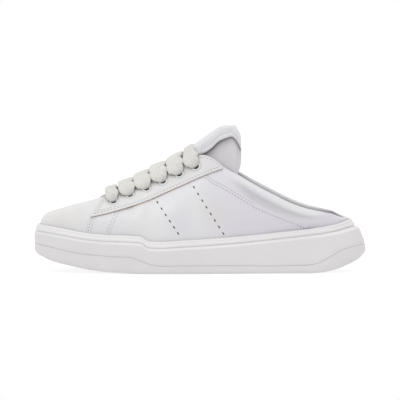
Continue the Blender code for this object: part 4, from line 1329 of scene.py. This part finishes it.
def build_lace_bar(number, finish):
    """One bar of the flat lace, gathered into pleats where it dives into its eyelets.

    Its section is a flat oval, |cos|^0.8 wide and |sin|^0.6 thick; lengthwise ribs ripple its thickness by
    cos(ribs * pi * share across), deeper where the lace is gathered. It widens from each eyelet like a
    quarter ellipse, faster on the toe's side, and tilts so that it laps over the bar before it. A bell takes
    a notch out of its heel side where the next bar presses on it. The finish has the share across it, the
    distance along it and how far it is gathered as marks.
    """
    count, around, tilt = 170, 96, 0.11
    path = lace_path(number, count)
    way = unit(np.gradient(path, axis=0))
    near = tongue_crest(eyelet_column(max(number, 1)))
    throat = unit(tongue_crest(eyelet_column(max(number, 1)) + EYELET_PITCH) - near)
    width_way = unit(throat - way * (way @ throat)[:, None])
    normal = np.cross(way, width_way)
    normal = normal * np.sign(normal[count // 2, 2])
    walked = walk(path)
    end = np.minimum(walked, walked[-1] - walked)
    width_way, normal = width_way - normal * tilt, normal + width_way * tilt
    full = LACE_WIDTH * LACE_BARS["width"][number]
    front = quarter_round(end / (7.5 * MM))
    back = quarter_round(end / (12 * MM))
    narrow = 1 - LACE_BARS["narrow"][number] * ramp(9 * MM, 20 * MM, end)
    toe_half = 0.9 * MM + (full / 2 - 0.9 * MM) * front**1.1 * narrow**0.5
    heel_half = 0.8 * MM + (full / 2 - 0.8 * MM) * back**1.5 * narrow
    if number < EYELETS - 1:
        heel_half = heel_half * (1 - NOTCH_SHARE * hump(end, NOTCH_PLACE, 3 * MM))
    half = np.stack((toe_half, heel_half), axis=1)
    thick = (2.2 * MM + (LACE_THICKNESS + 0.8 * MM - 2.2 * MM) * front) / 2
    pleat = 0.05 + 0.08 * (1 - ramp(2 * MM, 12 * MM, end))
    turn = np.linspace(0, 2 * math.pi, around, endpoint=False)
    flat = np.sign(np.cos(turn)) * np.abs(np.cos(turn)) ** 0.8
    tall = np.sign(np.sin(turn)) * np.abs(np.sin(turn)) ** 0.6
    ripple = 1 + pleat[:, None] * np.cos(LACE_RIBS * math.pi * flat)[None, :]
    reach = np.where(flat[None, :] < 0, half[:, :1], half[:, 1:]) * flat[None, :]
    points = path[:, None] + reach[:, :, None] * width_way[:, None]
    points = points + (thick[:, None] * tall * ripple)[:, :, None] * normal[:, None]
    grid = closed_ends(points)
    travelled = np.concatenate(([0], walked, walked[-1:]))[:, None]
    from_end = np.concatenate(([0], end, [0]))[:, None]
    marks = {"across": flat[None, :], "along": travelled / MM, "gathered": 1 - ramp(3, 14, from_end / MM)}
    marks = {mark: np.broadcast_to(values, grid.shape[:2]) for mark, values in marks.items()}
    faces = grid_faces(*grid.shape[:2], wrap_columns=True)
    made = piece(f"lace_{number + 1}", grid, faces, [finish], marks=marks)
    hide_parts(f"lace_bar_{number + 1}")


class Wire:
    """A shader socket that takes plain arithmetic, each step of it a Math node."""

    def __init__(self, tree, socket):
        self.tree = tree
        self.socket = socket

    def step(self, operation, *others):
        """This value and others through one Math node."""
        return add_node(self.tree, "Math", 0, dict(enumerate((self, *others))), operation=operation)

    def after(self, operation, other):
        """The other value and this one through one Math node, in that order."""
        return add_node(self.tree, "Math", 0, {0: other, 1: self}, operation=operation)

    def __add__(self, other):
        return self.step("ADD", other)

    def __sub__(self, other):
        return self.step("SUBTRACT", other)

    def __mul__(self, other):
        return self.step("MULTIPLY", other)

    def __truediv__(self, other):
        return self.step("DIVIDE", other)

    def __rsub__(self, other):
        return self.after("SUBTRACT", other)

    def __rtruediv__(self, other):
        return self.after("DIVIDE", other)

    __radd__ = __add__
    __rmul__ = __mul__

    def bell(self, centre, half):
        """exp(-((this - centre) / half)^2)."""
        out = (self - centre) / half
        return (out * out * -1).step("EXPONENT")

    def ramp(self, low, high):
        """0 below low, 1 above high and a smooth step between."""
        inputs = {"Value": self, "From Min": low, "From Max": high}
        return add_node(self.tree, "MapRange", "Result", inputs, interpolation_type="SMOOTHSTEP")


def join(tree, place, value):
    """Sets an input to a value, or links a wire to it."""
    if isinstance(value, Wire):
        tree.links.new(value.socket, place)
    else:
        place.default_value = value


def add_node(tree, kind, output, inputs, **settings):
    """A node of this kind, its settings first, then its inputs as values or wires. Gives one output."""
    made = tree.nodes.new("ShaderNode" + kind)
    for name, value in settings.items():
        setattr(made, name, value)
    for name, value in inputs.items():
        join(tree, made.inputs[name], value)
    return Wire(tree, made.outputs[output])


class Finish:
    """A procedural material: Object coordinates, noises and marks worked into colour, gloss and relief."""

    def __init__(self, name, **constants):
        self.material = bpy.data.materials.new(name)
        self.material.use_nodes = True
        self.tree = self.material.node_tree
        self.shader = self.tree.nodes["Principled BSDF"]
        self.place = add_node(self.tree, "TexCoord", "Object", {})
        for key, value in constants.items():
            self.shader.inputs[key.replace("_", " ")].default_value = value

    def mark(self, name):
        """A mark stored on the mesh's points."""
        return add_node(self.tree, "Attribute", "Fac", {}, attribute_name=name)

    def axis(self, name):
        """The place along X, Y or Z, in metres."""
        return add_node(self.tree, "SeparateXYZ", name, {"Vector": self.place})

    def noise(self, scale, detail=2.0, roughness=0.5, stretch=(1, 1, 1)):
        """Soft noise from 0 to 1 over the object, stretched by its scales along X, Y and Z."""
        place = add_node(self.tree, "Mapping", 0, {"Vector": self.place, "Scale": stretch})
        inputs = {"Vector": place, "Scale": scale, "Detail": detail, "Roughness": roughness}
        return add_node(self.tree, "TexNoise", "Fac", inputs)

    def cells(self, scale):
        """Distance to the nearest of many scattered cells."""
        return add_node(self.tree, "TexVoronoi", "Distance", {"Vector": self.place, "Scale": scale})

    def mix(self, factor, first, second):
        """A colour between two, each a wire or three shares of red, green and blue.

        A Mix node's sockets for colours are its inputs 6 and 7 and its output 2.
        """
        first, second = (value if isinstance(value, Wire) else (*value, 1) for value in (first, second))
        return add_node(self.tree, "Mix", 2, {0: factor, 6: first, 7: second}, data_type="RGBA")

    def show(self, colour, roughness=None, height=None, depth=0.0):
        """Ends the material: its colour, and its roughness and relief where they vary. depth is in metres."""
        join(self.tree, self.shader.inputs["Base Color"], colour)
        if roughness is not None:
            join(self.tree, self.shader.inputs["Roughness"], roughness)
        if height is not None:
            relief = {"Height": height, "Distance": depth, "Strength": 1.0}
            join(self.tree, self.shader.inputs["Normal"], add_node(self.tree, "Bump", "Normal", relief))
        return self.material


def leather_finish(name, seams):
    """White full-grain leather: pebbled grain, faint clouding and soft gloss.

    With seams it is the upper's: painted shade darker and lilac towards the rear, a painted highlight on the
    collar's roll, painted light on the lining's top inside, painted shade in its fold, warm tint patches and
    lilac painted shade where it is marked, and the seams' steps and the dents of their stitches. Without, it
    is the tab's, with painted shade and a groove along its hem.
    """
    made = Finish(name, Coat_Weight=0.15, Coat_Roughness=0.3)
    grain = made.cells(900) * 0.55 + made.noise(2200, 3) * 0.3
    broad = made.noise(38, 3)
    fold = made.noise(150, 2, stretch=(1.0, 1.0, 0.5))
    colour = made.mix(broad.ramp(0.3, 0.7), (0.605, 0.603, 0.622), (0.636, 0.632, 0.636))
    height = grain * 0.10 + fold * 0.25
    if seams:
        # Painted shade: darker and lilac towards the rear, where the quarter turns away from the light
        rear_shade = made.axis("X").ramp(-0.015, 0.035)
        colour = made.mix(rear_shade * 0.8, colour, (0.575, 0.560, 0.608))
        # Painted highlight on the collar's roll, painted shade in the fold under it, and painted light on the
        # lining's top, where the cavity shades it
        colour = made.mix(made.mark("roll") * 0.6, colour, (0.665, 0.657, 0.640))
        colour = made.mix(made.mark("trough") * 0.45, colour, (0.480, 0.474, 0.480))
        colour = made.mix(made.mark("inside") * 0.95, colour, (0.880, 0.872, 0.880))
        # Warm tint patches, and lilac painted shade where a patch's amount is below zero
        tint_patch = made.mark("tint_patch")
        colour = made.mix((tint_patch * 0.35).step("MAXIMUM", 0.0), colour, (0.580, 0.545, 0.500))
        colour = made.mix((tint_patch * -0.5).step("MAXIMUM", 0.0), colour, (0.555, 0.530, 0.600))
        vamp = made.mark("vamp_seam")
        panel = made.mark("toe_panel_seam")
        quarter = made.mark("quarter_seam")
        height = height + vamp.ramp(-0.35, 0.35) * 0.6
        for row in VAMP_ROWS:
            height = height - vamp.bell(row, 0.5) * 0.2
        for row in PANEL_ROWS:
            height = height - panel.bell(row, 0.5) * 0.15
        height = height - quarter.bell(0, 0.7) * 0.2 - quarter.bell(QUARTER_ROW, 0.7) * 0.1
        colour = made.mix(vamp.bell(-0.2, 0.35) * 0.12, colour, (0.313, 0.304, 0.313))
    else:
        edge = made.mark("from_edge")
        # Painted shade on the lower side of the hem's roll
        colour = made.mix(edge.bell(3.6, 2.2) * 0.45, colour, (0.470, 0.462, 0.475))
        height = height - edge.bell(2.0, 0.3) * 0.4
    roughness = 0.36 + made.noise(60, 3) * 0.16
    return made.show(colour, roughness, height, 0.55 * MM)


def facing_finish():
    """The eyestay's smoother leather, a little warmer, with finer grain."""
    made = Finish("facing leather", Coat_Weight=0.15, Coat_Roughness=0.3)
    # Painted shade: darker and lilac towards the rear
    rear_shade = made.axis("X").ramp(-0.05, 0.01)
    colour = made.mix(made.noise(45, 3).ramp(0.3, 0.7), (0.590, 0.587, 0.587), (0.612, 0.608, 0.604))
    colour = made.mix(rear_shade * 0.5, colour, (0.560, 0.550, 0.560))
    # Painted shade in the sunk line round each eyelet's ring
    colour = made.mix(made.mark("ring").bell(4.3, 0.4) * 0.55, colour, (0.365, 0.357, 0.357))
    height = made.cells(1100) * 0.4 + made.noise(2500, 2) * 0.3
    return made.show(colour, 0.34 + made.noise(70, 2) * 0.14, height, 0.06 * MM)


def raw_edge_finish():
    """The cut edge of leather: tan, fibrous and matt."""
    made = Finish("raw leather edge")
    colour = made.mix(made.noise(900, 3).ramp(0.3, 0.7), (0.348, 0.261, 0.200), (0.487, 0.400, 0.331))
    front = made.axis("X").ramp(-0.074, -0.092)
    colour = made.mix(front, colour, (0.313, 0.304, 0.304))
    return made.show(colour, 0.75 + made.noise(300) * 0.2, made.noise(2600, 3), 0.1 * MM)


def lining_finish():
    """The lining: soft pale textile with a fine twill."""
    made = Finish("textile lining", Sheen_Weight=0.15)
    along = made.axis("X")
    high = made.axis("Z")
    twill = ((along + high) * 5200).step("SINE") * ((along - high) * 5200).step("SINE")
    colour = made.mix(made.noise(50, 3), (0.62, 0.61, 0.62), (0.66, 0.65, 0.65))
    colour = made.mix(twill.ramp(-1, 1) * 0.15, colour, (0.50, 0.49, 0.50))
    return made.show(colour, 0.8 + made.noise(90) * 0.1, twill + made.noise(900) * 0.6, 0.1 * MM)


def rubber_finish(name, light, dark, wear):
    """Moulded rubber: even colour with faint scuffs and a fine horizontal drag in its surface."""
    made = Finish(name)
    drag = made.noise(420, 2, stretch=(0.06, 0.3, 1.0))
    colour = made.mix(made.noise(26, 3).ramp(0.3, 0.7), light, dark)
    scuff = made.noise(170, 4, 0.6, stretch=(0.35, 0.35, 1.0)).ramp(0.62, 0.78)
    colour = made.mix(scuff * wear, colour, (0.435, 0.418, 0.418))
    height = drag * 0.7 + made.noise(1500, 2) * 0.3
    return made.show(colour, 0.48 + made.noise(55, 3) * 0.14, height, 0.12 * MM)


def footbed_finish():
    """The footbed's cover: pale brushed leather with pores and slight soiling in broad patches."""
    made = Finish("footbed cover")
    pores = made.cells(1300).ramp(0.0, 0.35)
    colour = made.mix(made.noise(24, 4).ramp(0.35, 0.75), (0.522, 0.509, 0.496), (0.470, 0.452, 0.439))
    colour = made.mix((1 - pores) * 0.2, colour, (0.348, 0.331, 0.322))
    height = pores * 0.5 + made.noise(500, 3) * 0.5
    return made.show(colour, 0.62 + made.noise(60, 3) * 0.15, height, 0.15 * MM)


def padding_finish():
    """The tongue's smooth grey-lilac cover over foam, with fine wrinkles."""
    made = Finish("tongue cover", Sheen_Weight=0.1)
    colour = made.mix(made.noise(40, 3).ramp(0.3, 0.7), (0.520, 0.505, 0.530), (0.560, 0.548, 0.568))
    # Painted shadow under the tab's hem, fading below it and weaker towards the rear
    under = (made.mark("under_tab") * -0.36).step("EXPONENT")
    front = 1 - made.axis("X").ramp(0.012, 0.03) * 0.35
    colour = made.mix(under * front * 0.9, colour, (0.09, 0.085, 0.095))
    piping = made.mark("from_end").bell(3.0, 0.5)
    colour = made.mix(piping * 0.3, colour, (0.38, 0.37, 0.39))
    height = made.noise(180, 3, stretch=(0.4, 1, 1)) * 0.6 + made.cells(1500) * 0.2 - piping * 0.8
    return made.show(colour, 0.5 + made.noise(80, 2) * 0.12, height, 0.25 * MM)


def lace_finish():
    """Woven cotton lace: cream, matt, with small diagonal threads lengthwise."""
    made = Finish("lace weave", Sheen_Weight=0.25)
    across = made.mark("across")
    along = made.mark("along")
    warp = (across * 75).step("SINE")
    weft = (along * 7.0 + warp * 0.8).step("SINE")
    weave = warp * 0.5 + weft * 0.5
    gathered = made.mark("gathered")
    # Painted shade in the valleys between the ribs, more where the lace is gathered
    valley = (across * (LACE_RIBS * math.pi)).step("COSINE").ramp(0.0, -1.0) * (0.5 + gathered * 0.2)
    colour = made.mix(made.noise(60, 3), (0.612, 0.602, 0.572), (0.644, 0.635, 0.608))
    colour = made.mix(weave.ramp(0.0, -1.0) * 0.1, colour, (0.55, 0.54, 0.52))
    colour = made.mix(valley * 0.35, colour, (0.40, 0.39, 0.38))
    height = weave * 0.3 + made.noise(900) * 0.2 - valley * 0.6
    return made.show(colour, 0.82 + made.noise(200) * 0.12, height, 0.25 * MM)


def thread_finish(name, colour, deep):
    """Twisted sewing thread."""
    made = Finish(name)
    twist = made.noise(1800, 2)
    return made.show(made.mix(twist, colour, deep), 0.6 + twist * 0.2, twist, 0.1 * MM)


def dark_finish(name, colour):
    """The dark inside of a hole."""
    # Painted shade: the colour stands for the shade inside a hole
    made = Finish(name)
    depth = tuple(0.5 * part for part in colour)
    return made.show(made.mix(made.noise(400), colour, depth), 0.9 + made.noise(90) * 0.05)


def build_studio():
    """A plain pale floor, a white surround, soft lights and the photograph's camera."""
    floor_finish = Finish("studio floor")
    glow = floor_finish.mix(floor_finish.noise(2, 2) * 0.1, (0.26, 0.26, 0.26), (0.24, 0.24, 0.24))
    floor_finish.shader.inputs["Emission Color"].default_value = (1, 1, 1, 1)
    floor_finish.shader.inputs["Emission Strength"].default_value = 0.74
    reach = 3.0
    low = -0.0002
    mesh = bpy.data.meshes.new("studio_floor")
    corners = [(-reach, -reach, low), (reach, -reach, low), (reach, reach, low), (-reach, reach, low)]
    mesh.from_pydata(corners, [], [(0, 1, 2, 3)])
    mesh.materials.append(floor_finish.show(glow, 0.7 + floor_finish.noise(3) * 0.1))
    floor = bpy.data.objects.new("studio_floor", mesh)
    bpy.context.scene.collection.objects.link(floor)
    scene = bpy.context.scene
    world = bpy.data.worlds.new("studio surround")
    world.use_nodes = True
    world.node_tree.nodes["Background"].inputs["Color"].default_value = (1, 1, 1, 1)
    world.node_tree.nodes["Background"].inputs["Strength"].default_value = 1.0
    scene.world = world
    scene.view_settings.view_transform = "Standard"
    for name, place, size, power in (
        ("key", (-0.7, -1.5, 2.0), 1.0, 9.0),
        ("top", (-0.1, 0.1, 2.4), 1.2, 9.0),
    ):
        lamp = bpy.data.lights.new(name, "AREA")
        lamp.size = size
        lamp.energy = power
        light = bpy.data.objects.new(name, lamp)
        light.location = place
        light.rotation_euler = (Vector((0, 0, 0.05)) - Vector(place)).to_track_quat("-Z", "Y").to_euler()
        scene.collection.objects.link(light)
    lens = bpy.data.cameras.new("photo camera")
    lens.type = "ORTHO"
    lens.ortho_scale = 0.3352
    lens.clip_end = 10
    camera = bpy.data.objects.new("photo camera", lens)
    tilt = math.radians(3.5)
    camera.location = (-0.0002, -math.cos(tilt), 0.0592 + math.sin(tilt))
    camera.rotation_euler = (math.pi / 2 - tilt, 0, 0)
    scene.collection.objects.link(camera)
    scene.camera = camera


def main():
    """Builds every piece and the studio."""
    leather = leather_finish("white leather", True)
    lining = lining_finish()
    facing = facing_finish()
    raw_edge = raw_edge_finish()
    thread = thread_finish("white thread", (0.66, 0.65, 0.67), (0.72, 0.71, 0.72))
    pale_thread = thread_finish("lilac thread", (0.56, 0.54, 0.61), (0.62, 0.60, 0.66))
    # The dark finishes are painted shade for the insides of eyelets, needle holes and slits
    dark = dark_finish("hole shadow", (0.035, 0.03, 0.032))
    lilac = dark_finish("lilac needle hole shade", (0.10, 0.085, 0.13))
    faint = dark_finish("faint needle hole shade", (0.26, 0.25, 0.28))
    cup = rubber_finish("cup rubber", (0.603, 0.590, 0.597), (0.625, 0.612, 0.616), 0.12)
    # The bead rubber is lighter than the cup's: a painted highlight on the ledge, bead and rim
    bead = rubber_finish("bead rubber painted highlight", (0.655, 0.643, 0.645), (0.675, 0.662, 0.662), 0.08)
    ground = rubber_finish("ground rubber", (0.600, 0.580, 0.594), (0.626, 0.606, 0.615), 0.2)
    build_sole([cup, bead], [ground], [footbed_finish()])
    upper = build_upper([leather, lining])
    build_seams(upper, thread, pale_thread, dark, lilac, faint)
    build_eyestay(-1, "eyestay_outer", "eyestay_lateral", [facing, raw_edge], thread, dark, faint)
    build_eyestay(1, "eyestay_inner", "eyestay_medial", [facing, raw_edge], thread, dark, faint)
    build_tongue(padding_finish(), leather_finish("tab leather", False))
    lace = lace_finish()
    for number in range(EYELETS):
        build_lace_bar(number, lace)
    build_studio()


main()
